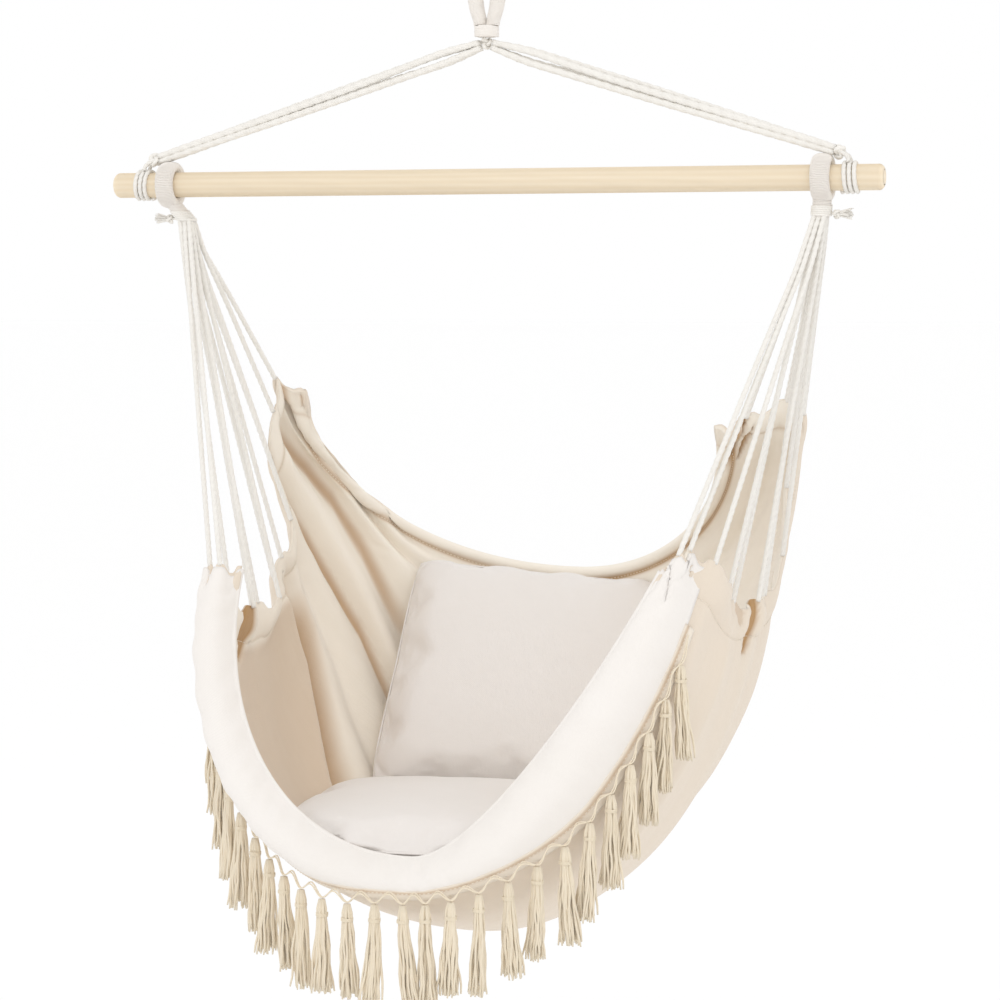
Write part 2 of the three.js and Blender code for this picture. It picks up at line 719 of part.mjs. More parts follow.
// Fringe: tassels on one scalloped cord along the lower edge of the front band
function makeFringe() {
  const hangPoint = (share) => {
    const u = THREE.MathUtils.lerp(-fringeSpanShare, fringeSpanShare, share);
    const v = fringeLineShare + fringeWrapShare * THREE.MathUtils.smoothstep(Math.abs(u), 0, fringeWrapReachShare);
    return sling(u, v).addScaledVector(normalOf(smoothSling, u, v), fringeStandOff);
  };
  const points = [];
  const tassels = [];
  for (let tassel = 0; tassel < tasselCount; tassel += 1) {
    points.push(hangPoint(tassel / tasselCount));
    const low = hangPoint((tassel + 1 / 2) / tasselCount);
    low.z -= scallopCordDrop;
    points.push(low);
    const radius = tasselHeadDiameter / 2;
    const waist = tasselWaistDiameter / 2;
    const flare = tasselSpread / 2;
    const profile = [
      [0, 0],
      [radius * tasselShares[0], 0],
      [radius, radius],
      [waist, tasselHeadDiameter],
      [flare * tasselShares[1], tasselLength * tasselShares[2]],
      [flare, tasselLength],
      [0, tasselLength],
    ];
    const head = low.clone();
    head.z += fringeCordDiameter;
    tassels.push(turned(profile, 8, head, new THREE.Vector3(0, 0, -1)));
  }
  points.push(hangPoint(1));
  const cord = cordAlong(points, fringeCordDiameter, 5, tasselCount * 4);
  addPiece('fringe', join([cord, ...tassels]), fringeCotton);
}

// Span and line of the fringe on the sling, and the outline of a tassel
const fringeSpanShare = 0.85;
const fringeLineShare = 0.12;
const fringeWrapShare = 0.074;
const fringeWrapReachShare = 0.5;
const tasselShares = [0.6, 0.72, 0.45];

/** A crowned cushion whose sides draw in between its corners, lying flat about its middle. */
function cushionShape(crown, frontShare) {
  const cells = 14;
  const positions = [];
  const indices = [];
  const rowLength = cells + 1;
  const half = cushionSide / 2;
  const gridPoint = (column, row, face) => {
    const s = Math.sin((Math.PI / 2) * (-1 + (2 * column) / cells));
    const t = Math.sin((Math.PI / 2) * (-1 + (2 * row) / cells));
    const x = s * (half - cushionPull * (1 - t * t));
    const y = t * (half - cushionPull * (1 - s * s));
    const swell = Math.max(0, (1 - s * s) * (1 - t * t)) ** crownShare;
    const swellShare = face > 0 ? frontShare : 1 - frontShare;
    return [x, y, face * (crown * swellShare * swell + cushionEdge / 2)];
  };
  for (const face of [1, -1]) {
    for (let row = 0; row <= cells; row += 1) {
      for (let column = 0; column <= cells; column += 1) positions.push(...gridPoint(column, row, face));
    }
  }
  const layer = rowLength * rowLength;
  for (let row = 0; row < cells; row += 1) {
    for (let column = 0; column < cells; column += 1) {
      const a = row * rowLength + column;
      const b = a + 1;
      const c = a + rowLength;
      const d = c + 1;
      indices.push(a, b, c, b, d, c);
      indices.push(a + layer, c + layer, b + layer, b + layer, c + layer, d + layer);
    }
  }
  const rim = [];
  for (let step = 0; step < cells; step += 1) rim.push(step);
  for (let step = 0; step < cells; step += 1) rim.push(step * rowLength + cells);
  for (let step = cells; step > 0; step -= 1) rim.push(cells * rowLength + step);
  for (let step = cells; step > 0; step -= 1) rim.push(step * rowLength);
  for (let step = 0; step < rim.length; step += 1) {
    const a = rim[step];
    const b = rim[(step + 1) % rim.length];
    indices.push(a, a + layer, b + layer, a, b + layer, b);
  }
  const geometry = new THREE.BufferGeometry();
  geometry.setAttribute('position', new THREE.Float32BufferAttribute(positions, 3));
  geometry.setIndex(indices);
  return geometry;
}

const crownShare = 0.42;

/** Squeezes a soft geometry from its middle, so that it lies a gap away from the given triangles. */
function squeeze(geometry, middle, corners, gap) {
  const position = geometry.attributes.position;
  for (let index = 0; index < position.count; index += 1) {
    const point = new THREE.Vector3().fromBufferAttribute(position, index);
    const away = point.clone().sub(middle);
    const reach = away.length();
    away.normalize();
    const room = freeTravel([middle], away, corners) - gap;
    if (room < reach) position.setXYZ(index, ...middle.clone().addScaledVector(away, room));
  }
}

/** Copies of triangles moved against a lift in steps: what is clear of them can be lifted out. */
function movedAgainst(corners, lift) {
  const steps = 12;
  const moved = [];
  for (let step = 1; step <= steps; step += 1) {
    const shift = lift.clone().multiplyScalar(-step / steps);
    for (const corner of corners) moved.push(corner.clone().add(shift));
  }
  return moved;
}

// Cushions: middles of their seams as shares, and their leans in degrees
const seatCushionShares = [-0.032, -0.331, -0.853];
const backCushionShares = [0.013, 0.445, -0.702];
const seatCushionFrontShare = 0.27;
const backCushionFrontShare = 0.4;
const seatCushionLean = 1;
const backCushionLean = 46;
const backCushionTwist = 14;
const seatCushionTwist = 3;
const backCushionRoll = -6;

function makeCushions() {
  const lay = (crown, frontShare, lean, twist, roll, shares, rests) => {
    const geometry = cushionShape(crown, frontShare);
    geometry.rotateZ(THREE.MathUtils.degToRad(roll));
    geometry.rotateX(THREE.MathUtils.degToRad(lean));
    geometry.rotateZ(THREE.MathUtils.degToRad(twist));
    const middle = new THREE.Vector3(shares[0] * hemReach, shares[1] * seatReach, shares[2] * bowlDrop);
    geometry.translate(...middle);
    squeeze(geometry, middle, rests, restGap);
    return { geometry, middle };
  };
  const { geometry: seat, middle: seatMiddle } = lay(
    seatCushionCrown, seatCushionFrontShare, seatCushionLean, seatCushionTwist, 0, seatCushionShares, slingCorners,
  );
  const seatLift = new THREE.Vector3(0, -seatCushionAdvance, seatCushionLift);
  squeeze(seat, seatMiddle, movedAgainst(slingCorners, seatLift), liftGap);
  const { geometry: back } = lay(
    backCushionCrown, backCushionFrontShare, backCushionLean, backCushionTwist, backCushionRoll, backCushionShares,
    [...slingCorners, ...trianglesOf(seat)],
  );
  addPiece('seat_cushion', closed(seat), cotton);
  addPiece('back_cushion', closed(back), cotton);
}

makeHanger();
makeStrands();
makeBar();
makeHitches();
makeCollars();
makeFan();
makeFringe();
makeCushions();

export default chair;
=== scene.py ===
import math

import bmesh
import bpy
import numpy as np
from bpy.props import FloatProperty, FloatVectorProperty, IntProperty, PointerProperty
from mathutils import Matrix, Vector
from mathutils.bvhtree import BVHTree


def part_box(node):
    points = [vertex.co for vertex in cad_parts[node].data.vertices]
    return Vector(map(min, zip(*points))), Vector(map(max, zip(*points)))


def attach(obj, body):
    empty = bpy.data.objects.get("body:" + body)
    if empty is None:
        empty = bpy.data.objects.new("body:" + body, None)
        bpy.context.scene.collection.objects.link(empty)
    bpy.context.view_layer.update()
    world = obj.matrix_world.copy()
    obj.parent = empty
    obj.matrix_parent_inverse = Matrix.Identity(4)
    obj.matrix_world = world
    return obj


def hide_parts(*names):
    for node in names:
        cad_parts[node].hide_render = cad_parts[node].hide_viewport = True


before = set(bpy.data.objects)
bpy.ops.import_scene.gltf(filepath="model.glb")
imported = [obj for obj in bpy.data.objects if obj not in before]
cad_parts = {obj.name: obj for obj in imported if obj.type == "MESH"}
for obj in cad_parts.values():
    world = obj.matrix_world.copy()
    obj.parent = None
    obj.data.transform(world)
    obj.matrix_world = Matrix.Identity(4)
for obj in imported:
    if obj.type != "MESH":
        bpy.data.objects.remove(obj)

bl_info = {
    "name": "Hanging Hammock Chair",
    "version": (1, 1, 0),
    "blender": (4, 5, 0),
    "location": "View3D > Sidebar > Hammock Chair",
    "description": "Builds the cords, cloth, fringe and cushions of a hanging hammock chair",
    "category": "Add Mesh",
}

SIDES = (("left", -1), ("right", 1))
BAR_DROP = 0.285

# Side hems and middle of the sling, front to back, as shares of the hem's reach, the seat's
# reach and the bowl's drop
LEFT_HEM_SHARES = (
    (-0.73, -0.42, -0.513), (-0.784, -0.472, -0.509), (-0.838, -0.449, -0.511),
    (-0.784, -0.341, -0.563), (-0.798, -0.253, -0.573), (-0.818, -0.154, -0.578),
    (-0.828, -0.066, -0.578), (-0.838, 0.023, -0.573), (-0.848, 0.101, -0.548),
    (-0.867, 0.18, -0.524), (-0.897, 0.249, -0.475), (-0.936, 0.298, -0.396),
    (-0.956, 0.278, -0.322), (-0.948, 0.271, -0.266), (-0.85, 0.311, -0.303),
)
RIGHT_HEM_SHARES = (
    (0.814, -0.518, -0.499), (0.863, -0.503, -0.481), (0.907, -0.474, -0.475),
    (0.942, -0.39, -0.494), (0.961, -0.282, -0.529), (0.986, -0.184, -0.553),
    (0.996, -0.095, -0.553), (1.01, -0.017, -0.553), (1.025, 0.052, -0.553),
    (1.005, 0.16, -0.504), (1.04, 0.239, -0.416), (1.084, 0.288, -0.312),
    (1.025, 0.268, -0.303), (0.883, 0.195, -0.312), (0.784, 0.16, -0.332),
)
MIDDLE_SHARES = (
    (0.037, -0.769, -0.863), (0.057, -0.852, -0.899), (0.106, -0.656, -0.951),
    (0.175, -0.341, -0.986), (0.204, -0.027, -0.971), (0.185, 0.298, -0.887),
    (0.135, 0.593, -0.75), (0.086, 0.77, -0.612), (0.057, 0.829, -0.556),
)
HEM_REACH = 0.35
SEAT_REACH = 0.45
BOWL_DROP = 0.92
LEFT_STRAIGHT_SHARE = -0.12
RIGHT_STRAIGHT_SHARE = 0.16
RIM_STRAIGHT_SHARE = 0.8
RIM_BLEND_SHARE = 0.3
BOWL_ROUND_SHARE = 0.25
STATIONS = 14

# Folds gathered at the hems, and between which places the folds grow in
GATHER_DEPTH = 0.011
GATHER_COUNT = 5
GATHER_START = (0.05, 0.2)
GATHER_REACH = (0.88, 1)
DRAWN_REACH = (0.22, 0.5)
SCALLOP_DEPTH = 0.010
SCALLOP_REACH = (0.9, 1)
SCALLOP_ROUNDNESS = (0.2, 1)
BACK_HEM_SHARE = 0.96

# Steps before and behind each place that the drawn folds are averaged over
FOLD_SOFTNESS = (-0.008, -0.004, 0, 0.004, 0.008)

# Line of the fringe on the sling
FRINGE_SPAN_SHARE = 0.85
FRINGE_LINE_SHARE = 0.12
FRINGE_WRAP_SHARE = 0.074
FRINGE_WRAP_REACH = 0.5

# Drawn folds of each wall: height outward in millimetres, whether the line is sharp, and its
# places from front to back at each reach from the middle to the hem
FOLD_REACHES = (0.3, 0.45, 0.55, 0.65, 0.75, 0.85, 1.0)
LEFT_FOLDS = (
    (0, 0, (0.30, 0.32, 0.34, 0.36, 0.38, 0.40, 0.40)),
    (5, 0, (0.40, 0.42, 0.44, 0.47, 0.50, 0.52, 0.52)),
    (-11, 1, (0.455, 0.465, 0.505, 0.561, 0.610, 0.620, 0.620)),
    (17, 1, (0.485, 0.492, 0.536, 0.595, 0.645, 0.656, 0.656)),
    (-12, 0, (0.52, 0.56, 0.598, 0.640, 0.678, 0.685, 0.69)),
    (-1, 1, (0.56, 0.588, 0.635, 0.682, 0.703, 0.712, 0.715)),
    (-11, 0, (0.60, 0.645, 0.690, 0.730, 0.750, 0.755, 0.755)),
    (18, 1, (0.655, 0.705, 0.758, 0.782, 0.797, 0.798, 0.80)),
    (-13, 0, (0.70, 0.742, 0.792, 0.826, 0.846, 0.840, 0.840)),
    (12, 0, (0.75, 0.800, 0.863, 0.903, 0.903, 0.888, 0.86)),
    (-10, 0, (0.82, 0.872, 0.910, 0.945, 0.950, 0.925, 0.895)),
    (13, 1, (0.85, 0.892, 0.937, 0.975, 0.982, 0.965, 0.94)),
    (-7, 0, (0.90, 0.920, 0.965, 0.985, 0.990, 0.982, 0.97)),
    (7, 1, (0.93, 0.945, 0.985, 0.993, 0.995, 0.992, 0.985)),
    (0, 0, (1.0, 1.0, 1.0, 1.0, 1.0, 1.0, 1.0)),
)
RIGHT_FOLDS = tuple(
    (height, sharp, (middle, middle, middle, lower, lower, hem, hem))
    for height, sharp, middle, lower, hem in (
        (0, 0, 0.10, 0.10, 0.10), (-3, 0, 0.17, 0.17, 0.17), (2, 1, 0.22, 0.225, 0.23),
        (-4, 0, 0.27, 0.275, 0.28), (4, 1, 0.31, 0.32, 0.33), (-3, 0, 0.37, 0.38, 0.39),
        (3, 0, 0.44, 0.45, 0.46), (-4, 0, 0.50, 0.515, 0.53), (3, 1, 0.56, 0.58, 0.60),
        (-4, 0, 0.62, 0.64, 0.66), (4, 0, 0.68, 0.70, 0.72), (-4, 0, 0.74, 0.755, 0.77),
        (5, 1, 0.79, 0.80, 0.81), (-4, 0, 0.83, 0.84, 0.85), (4, 1, 0.865, 0.875, 0.88),
        (-3, 0, 0.90, 0.905, 0.91), (3, 1, 0.935, 0.94, 0.94), (-2, 0, 0.965, 0.97, 0.97),
        (0, 0, 1.0, 1.0, 1.0),
    )
)

# Slots that the cords leave the hem's casing by: both ends as u and v, half the width in metres, on
# which face of the cloth it opens, 1 outside and -1 inside, and how dark the shade painted into it is,
# which also sets how deep it sinks
SLOTS = (
    ((0.99, 0.935), (0.82, 0.982), 0.0100, -1, 1.0),
    ((0.965, 0.918), (0.84, 0.941), 0.0042, -1, 0.8),
    ((1.0, 0.418), (0.905, 0.428), 0.0140, 1, 1.0),
    ((0.975, 0.062), (0.89, 0.112), 0.0030, 1, 0.7),
    ((0.975, 0.152), (0.95, 0.165), 0.0030, 1, 0.7),
    ((1.0, 0.372), (0.972, 0.378), 0.0150, 1, 0.45),
    ((-0.99, 0.118), (-0.965, 0.112), 0.0034, 1, 0.7),
    ((-1.0, 0.275), (-0.915, 0.285), 0.0270, -1, 0.95),
    ((-0.90, 0.702), (-0.835, 0.694), 0.0040, -1, 0.9),
    ((-0.96, 0.632), (-0.90, 0.628), 0.0060, -1, 0.8),
    ((-0.985, 0.985), (-0.955, 0.985), 0.0040, -1, 0.9),
)
SLOT_DEPTH = 0.006
SLOT_EDGE = (0.7, 1.3)
SLOT_END_WIDTH = 0.55
SLOT_SWELL = (0.08, 0.92)
CLOTH_METRES = (0.55, 0.8)


# Shapes

def smoothstep(values, low, high):
    """The smooth step from 0 at low to 1 at high."""
    t = np.clip((np.asarray(values, float) - low) / (high - low), 0, 1)
    return t * t * (3 - 2 * t)


def lerp(a, b, t):
    """The value between a and b at the share t."""
    return a + (b - a) * t


def unit(vectors):
    """Vectors of length one."""
    return vectors / np.maximum(np.linalg.norm(vectors, axis=-1, keepdims=True), 1e-12)


def share_curve(shares):
    """A function that gives the points of a smooth line through places given in shares."""
    points = np.array(shares) * (HEM_REACH, SEAT_REACH, BOWL_DROP)
    last = len(points) - 1
    padded = np.vstack((2 * points[0] - points[1], points, 2 * points[-1] - points[-2]))

    def at(t):
        along = np.clip(np.asarray(t, float), 0, 1) * last
        start = np.minimum(along.astype(int), last - 1)
        share = (along - start)[..., None]
        p0, p1, p2, p3 = (padded[start + k] for k in range(4))
        pairs = ((p0, p1), (p1, p2), (p2, p3))
        d0, d1, d2 = (np.sqrt(np.linalg.norm(b - a, axis=-1))[..., None] for a, b in pairs)
        leave = ((p1 - p0) / d0 - (p2 - p0) / (d0 + d1) + (p2 - p1) / d1) * d1
        reach = ((p2 - p1) / d1 - (p3 - p1) / (d1 + d2) + (p3 - p2) / d2) * d1
        c2 = 3 * (p2 - p1) - 2 * leave - reach
        c3 = 2 * (p1 - p2) + leave + reach
        return p1 + leave * share + c2 * share ** 2 + c3 * share ** 3

    return at


left_hem = share_curve(LEFT_HEM_SHARES)
right_hem = share_curve(RIGHT_HEM_SHARES)
middle_line = share_curve(MIDDLE_SHARES)


def smooth_sling(u, v):
    """The sling without folds: u from the left hem at -1 to the right at 1, v front to back."""
    u, v = np.broadcast_arrays(np.asarray(u, float), np.asarray(v, float))
    middle = middle_line(v)
    left = (u < 0)[..., None]
    hem = np.where(left, left_hem(v), right_hem(v))
    rimward = np.where(u < 0, 0, 1 - smoothstep(v, 0, RIM_BLEND_SHARE))
    wall = np.where(u < 0, LEFT_STRAIGHT_SHARE, RIGHT_STRAIGHT_SHARE)
    straight = lerp(wall, RIM_STRAIGHT_SHARE, rimward)
    reach = np.abs(u)
    turn = reach * math.pi / 2
    full_level = math.hypot(1, BOWL_ROUND_SHARE) - BOWL_ROUND_SHARE
    level = (np.hypot(reach, BOWL_ROUND_SHARE) - BOWL_ROUND_SHARE) / full_level
    out = lerp(np.sin(turn), reach, straight)
    up = lerp(1 - np.cos(turn), level, straight)
    share = np.stack((out, up, up), axis=-1)
    return lerp(middle, hem, share) - (0, 0, BAR_DROP)


def normal_of(surface, u, v):
    """The outward normal of a surface given as a function of u and v."""
    small = 1e-3
    u, v = np.broadcast_arrays(np.asarray(u, float), np.asarray(v, float))
    across = surface(np.minimum(u + small, 1), v) - surface(np.maximum(u - small, -1), v)
    back = surface(u, np.minimum(v + small, 1)) - surface(u, np.maximum(v - small, 0))
    return unit(np.cross(back, across))


def fold_height(reach, v, folds):
    """The height of the drawn folds of one wall in metres, outward."""
    places = [np.interp(reach, FOLD_REACHES, fold[2]) for fold in folds]
    height = np.zeros_like(v)
    for near, far, low, high in zip(folds, folds[1:], places, places[1:]):
        t = np.clip((v - low) / np.maximum(high - low, 1e-6), 0, 1)
        eased = {
            (0, 0): t * t * (3 - 2 * t),
            (1, 0): 1 - (1 - t) ** 2,
            (0, 1): t * t,
            (1, 1): t,
        }[near[1], far[1]]
        height = np.where((v >= low) & (v < high), lerp(near[0], far[0], eased), height)
    return height / 1000


def slot_mask(u, v, face):
    """How deep a point of one face of the cloth lies in a slot, from 0 to 1."""
    mask = np.zeros_like(u)
    for start, end, half_width, side, darkness in SLOTS:
        if side != face:
            continue
        scale = np.array(CLOTH_METRES)
        a, b = np.array(start) * scale, np.array(end) * scale
        run = b - a
        px, py = u * scale[0] - a[0], v * scale[1] - a[1]
        t = np.clip((px * run[0] + py * run[1]) / (run @ run), 0, 1)
        away = np.hypot(px - t * run[0], py - t * run[1])
        swell = np.sin(math.pi * np.clip(t, *SLOT_SWELL))
        taper = half_width * (SLOT_END_WIDTH + (1 - SLOT_END_WIDTH) * swell)
        mask = np.maximum(mask, darkness * (1 - smoothstep(away / taper, *SLOT_EDGE)))
    return mask


def relief(u, v):
    """The height of the folds over the smooth sling in metres, outward."""
    reach = np.abs(u)
    drawn = 0
    for drift in FOLD_SOFTNESS:
        near = np.clip(v + drift, 0, 1)
        left, right = (fold_height(reach, near, folds) for folds in (LEFT_FOLDS, RIGHT_FOLDS))
        drawn = drawn + np.where(u < 0, left, right) / len(FOLD_SOFTNESS)
    drawn = drawn * smoothstep(reach, *DRAWN_REACH)
    swing = np.sin(2 * math.pi * GATHER_COUNT * v + np.where(u < 0, math.pi / 2, 0))
    gathered = GATHER_DEPTH * smoothstep(v, *GATHER_START) * swing
    return lerp(drawn, gathered, smoothstep(reach, *GATHER_REACH))


def sling(u, v):
    """The sling with its folds and with the flat tabs of its hems."""
    u, v = np.broadcast_arrays(np.asarray(u, float), np.asarray(v, float))
    height = relief(u, v) + SLOT_DEPTH * (slot_mask(u, v, -1) - slot_mask(u, v, 1))
    point = smooth_sling(u, v) + normal_of(smooth_sling, u, v) * height[..., None]
    at_hem = smoothstep(np.abs(u), *SCALLOP_REACH)
    notch = smoothstep(np.sin(math.pi * v * STATIONS) ** 2, *SCALLOP_ROUNDNESS)
    point[..., 2] -= SCALLOP_DEPTH * at_hem * notch
    return point


def fringe_line(u):
    """The place from front to back of the band's outer edge, where the fringe is sewn on."""
    return FRINGE_LINE_SHARE + FRINGE_WRAP_SHARE * smoothstep(np.abs(u), 0, FRINGE_WRAP_REACH)


# Meshes

def lengths_along(points):
    """The length of a line from its first point to each of its points."""
    return np.concatenate(([0], np.cumsum(np.linalg.norm(np.diff(points, axis=0), axis=1))))


def vectors_at(places, lengths, vectors):
    """The vectors of a line's points, read at places along its length."""
    return np.stack([np.interp(places, lengths, vectors[:, k]) for k in range(3)], axis=-1)


def circle(count):
    """The angles of so many points round a circle."""
    return 2 * math.pi * np.arange(count) / count


def transported(points, closed=False):
    """Tangents, normals and binormals along a line of points, without a twist."""
    points = np.asarray(points, float)
    if closed:
        tangents = np.roll(points, -1, axis=0) - np.roll(points, 1, axis=0)
    else:
        tangents = np.gradient(points, axis=0)
    tangents = unit(tangents)
    away = np.eye(3)[np.argmin(np.abs(tangents[0]))]
    normal = np.cross(tangents[0], away)
    normals = []
    for tangent in tangents:
        normal = normal - tangent * (normal @ tangent)
        normal = normal / np.linalg.norm(normal)
        normals.append(normal)
    normals = np.array(normals)
    return tangents, normals, np.cross(tangents, normals)


class Skin:
    """Gathers closed shapes into one mesh, with a UV in metres and one value a point, which is the
    share of painted shade.
    """

    def __init__(self):
        self.points, self.faces, self.uvs, self.values = [], [], [], []
        self.count = 0

    def grid(self, points, wrap_rows=False, caps=True, values=0.0):
        """Faces over closed rows of points; the rows may close on each other or be capped."""
        points = np.asarray(points, float)
        rows, columns = points.shape[:2]
        first = self.count
        self.points.append(points.reshape(-1, 3))
        self.values.append(np.broadcast_to(np.asarray(values, float), (rows * columns,)))
        self.count += rows * columns
        down = np.linalg.norm(np.diff(points, axis=0), axis=2).mean(axis=1)
        across = np.linalg.norm(np.diff(points, axis=1), axis=2).mean(axis=0)
        v = np.concatenate(([0], np.cumsum(down), [down.sum() + down.mean()]))
        u = np.concatenate(([0], np.cumsum(across), [across.sum() + across.mean()]))
        down_count = rows if wrap_rows else rows - 1
        r, c = np.meshgrid(np.arange(down_count), np.arange(columns), indexing="ij")
        r, c = r.ravel(), c.ravel()
        here, below = r * columns, (r + 1) % rows * columns
        beside = (c + 1) % columns
        quads = np.stack((here + c, here + beside, below + beside, below + c), axis=1)
        corners = np.stack((u[c], v[r], u[c + 1], v[r], u[c + 1], v[r + 1], u[c], v[r + 1]), axis=1)
        self.faces.extend((quads + first).tolist())
        self.uvs.append(corners.reshape(-1, 2))
        if caps and not wrap_rows:
            last = first + (rows - 1) * columns
            self.faces.append(list(range(first + columns - 1, first - 1, -1)))
            self.faces.append(list(range(last, last + columns)))
            self.uvs.append(np.zeros((2 * columns, 2)))

    def tube(self, points, radii, section=None, twist=0.0, closed=False, sides=6):
        """A tube along points; section scales the radius round it, twist is in radians a metre."""
        points = np.asarray(points, float)
        radii = np.broadcast_to(np.asarray(radii, float), (len(points),))
        section = np.ones(sides) if section is None else np.asarray(section, float)
        _, normals, binormals = transported(points, closed)
        turned = (circle(len(section))[None, :] + twist * lengths_along(points)[:, None])[..., None]
        reach = (radii[:, None] * section[None, :])[..., None]
        ring = np.cos(turned) * normals[:, None] + np.sin(turned) * binormals[:, None]
        self.grid(points[:, None] + reach * ring, wrap_rows=closed)

    def piece(self, name):
        """The finished mesh object, with its faces turned outwards."""
        mesh = bpy.data.meshes.new(name)
        mesh.from_pydata(np.vstack(self.points).tolist(), [], self.faces)
        layer = mesh.uv_layers.new(name="thread")
        layer.data.foreach_set("uv", np.vstack(self.uvs).astype(np.float32).ravel())
        hollow = mesh.attributes.new("hollow", "FLOAT", "POINT")
        hollow.data.foreach_set("value", np.concatenate(self.values).astype(np.float32))
        shape = bmesh.new()
        shape.from_mesh(mesh)
        bmesh.ops.recalc_face_normals(shape, faces=shape.faces)
        shape.to_mesh(mesh)
        shape.free()
        mesh.polygons.foreach_set("use_smooth", [True] * len(mesh.polygons))
        mesh.update()
        piece = bpy.data.objects.new(name, mesh)
        bpy.context.collection.objects.link(piece)
        return piece

    def finish(self, name, material, body, slot, *nodes):
        """The mesh object with its material and its body, with the CAD nodes that it stands for
        hidden; its slot is not used.
        """
        return finish_piece(self.piece(name), material, body, slot, *nodes)


# Three yarns round, with grooves between them
ROPE_SIDES = 12
GROOVE_SHARE = 0.2
ROPE_SECTION = [
    1 - GROOVE_SHARE * (1 - abs(math.cos(1.5 * math.radians(360 / ROPE_SIDES * k))))
    for k in range(ROPE_SIDES)
]
SLIM_FROM = 0.84


def resampled(points, step):
    """The same line with points a step apart, along a smooth curve."""
    points = np.asarray(points, float)
    lengths = lengths_along(points)
    count = max(3, int(round(lengths[-1] / step)) + 1)
    wanted = np.linspace(0, lengths[-1], count)
    slopes = np.gradient(points, lengths, axis=0)
    index = np.clip(np.searchsorted(lengths, wanted, side="right") - 1, 0, len(points) - 2)
    span = (lengths[index + 1] - lengths[index])[:, None]
    t = (wanted - lengths[index])[:, None] / span
    h00, h10 = 2 * t ** 3 - 3 * t ** 2 + 1, t ** 3 - 2 * t ** 2 + t
    h01, h11 = -2 * t ** 3 + 3 * t ** 2, t ** 3 - t ** 2
    near = h00 * points[index] + h10 * span * slopes[index]
    return near + h01 * points[index + 1] + h11 * span * slopes[index + 1]


def rope(skin, points, diameter, lay_turns=3.6, closed=False, slim_ends=0.0):
    """A laid rope of three yarns along points, whose lay is so many diameters long."""
    lay = lay_turns * diameter
    line = np.asarray(points, float) if closed else resampled(points, lay / ROPE_SIDES)
    ends = np.abs(np.linspace(-1, 1, len(line)))
    radii = diameter / 2 * (1 - slim_ends * smoothstep(ends, SLIM_FROM, 1))
    skin.tube(line, radii, ROPE_SECTION, 2 * math.pi / lay, closed)


KNOT_STEPS = 96
KNOT_LENGTH_SHARE = 0.55


def overhand_knot(skin, middle, size, diameter, lengthwise):
    """A tied knot of rope about a point, drawn tight along one direction."""
    t = np.linspace(0, 2 * math.pi, KNOT_STEPS, endpoint=False)
    level = (np.sin(t) + 2 * np.sin(2 * t)) / 3
    upright = (np.cos(t) - 2 * np.cos(2 * t)) / 3
    trefoil = np.stack((np.sin(3 * t) * KNOT_LENGTH_SHARE, level, upright), axis=1)
    turn = np.array(Vector((1, 0, 0)).rotation_difference(Vector(lengthwise)).to_matrix())
    rope(skin, trefoil @ turn.T * size + np.asarray(middle, float), diameter, closed=True)


def oval_turns(skin, centre_of, width_of, depth_of, start, end, pitch, radius, steps=40):
    """Close turns of thin cord down an oval core whose centre and half widths follow the height."""
    turns = abs(end - start) / pitch
    angle = np.linspace(0, 2 * math.pi * turns, int(turns * steps))
    height = lerp(start, end, angle / angle[-1])
    across = centre_of(height) + width_of(height) * np.cos(angle)
    skin.tube(np.stack((across, depth_of(height) * np.sin(angle), height), axis=1), radius, sides=6)


# One stitch: its length, the step from one to the next, its thread, where it bends as shares of
# its length, and how many radii its ends sink into the cloth
STITCH_LENGTH = 0.0032
STITCH_PITCH = 0.0052
STITCH_RADIUS = 0.00045
STITCH_BENDS = (0, 0.25, 0.75, 1)
STITCH_SINK = 1.6


def stitches(skin, line, normals, lift):
    """A row of stitches along a line, just over the cloth."""
    line = line + normals * lift
    lengths = lengths_along(line)
    for start in np.arange(STITCH_PITCH / 2, lengths[-1] - STITCH_PITCH, STITCH_PITCH):
        dash = vectors_at(start + STITCH_LENGTH * np.array(STITCH_BENDS), lengths, line)
        dash[[0, 3]] -= vectors_at(start, lengths, normals) * STITCH_RADIUS * STITCH_SINK
        skin.tube(dash, STITCH_RADIUS, sides=4)


def node_line(node, sides=8):
    """The centreline of a cord's CAD node, from its rings of points."""
    found = np.array([vertex.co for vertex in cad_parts[node].data.vertices], float)
    points = np.unique(np.round(found, 6), axis=0)
    start = points[np.argmax(points[:, 2])]
    end = points[np.argmin(points[:, 2])]
    line = None
    for _ in range(3):
        direction = unit(end - start)
        order = np.argsort(points @ direction)
        rings = len(points) // sides
        groups = [order[k * sides:(k + 1) * sides] for k in range(rings)]
        line = np.array([points[group].mean(axis=0) for group in groups])
        start, end = line[0], line[-1]
    return line


def finish_piece(piece, material, body, slot, *nodes):
    """Gives a piece its material and its body, and hides the CAD nodes that it stands for; the slot is
    not used.
    """
    piece.data.materials.clear()
    piece.data.materials.append(material_of(material))
    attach(piece, body)
    if nodes:
        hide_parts(*nodes)
    return piece


def only(piece):
    """Makes a piece the one that is selected and active."""
    bpy.ops.object.select_all(action="DESELECT")
    piece.select_set(True)
    bpy.context.view_layer.objects.active = piece


def apply_modifiers(piece):
    """Applies every modifier of a piece."""
    only(piece)
    for modifier in list(piece.modifiers):
        bpy.ops.object.modifier_apply(modifier=modifier.name)


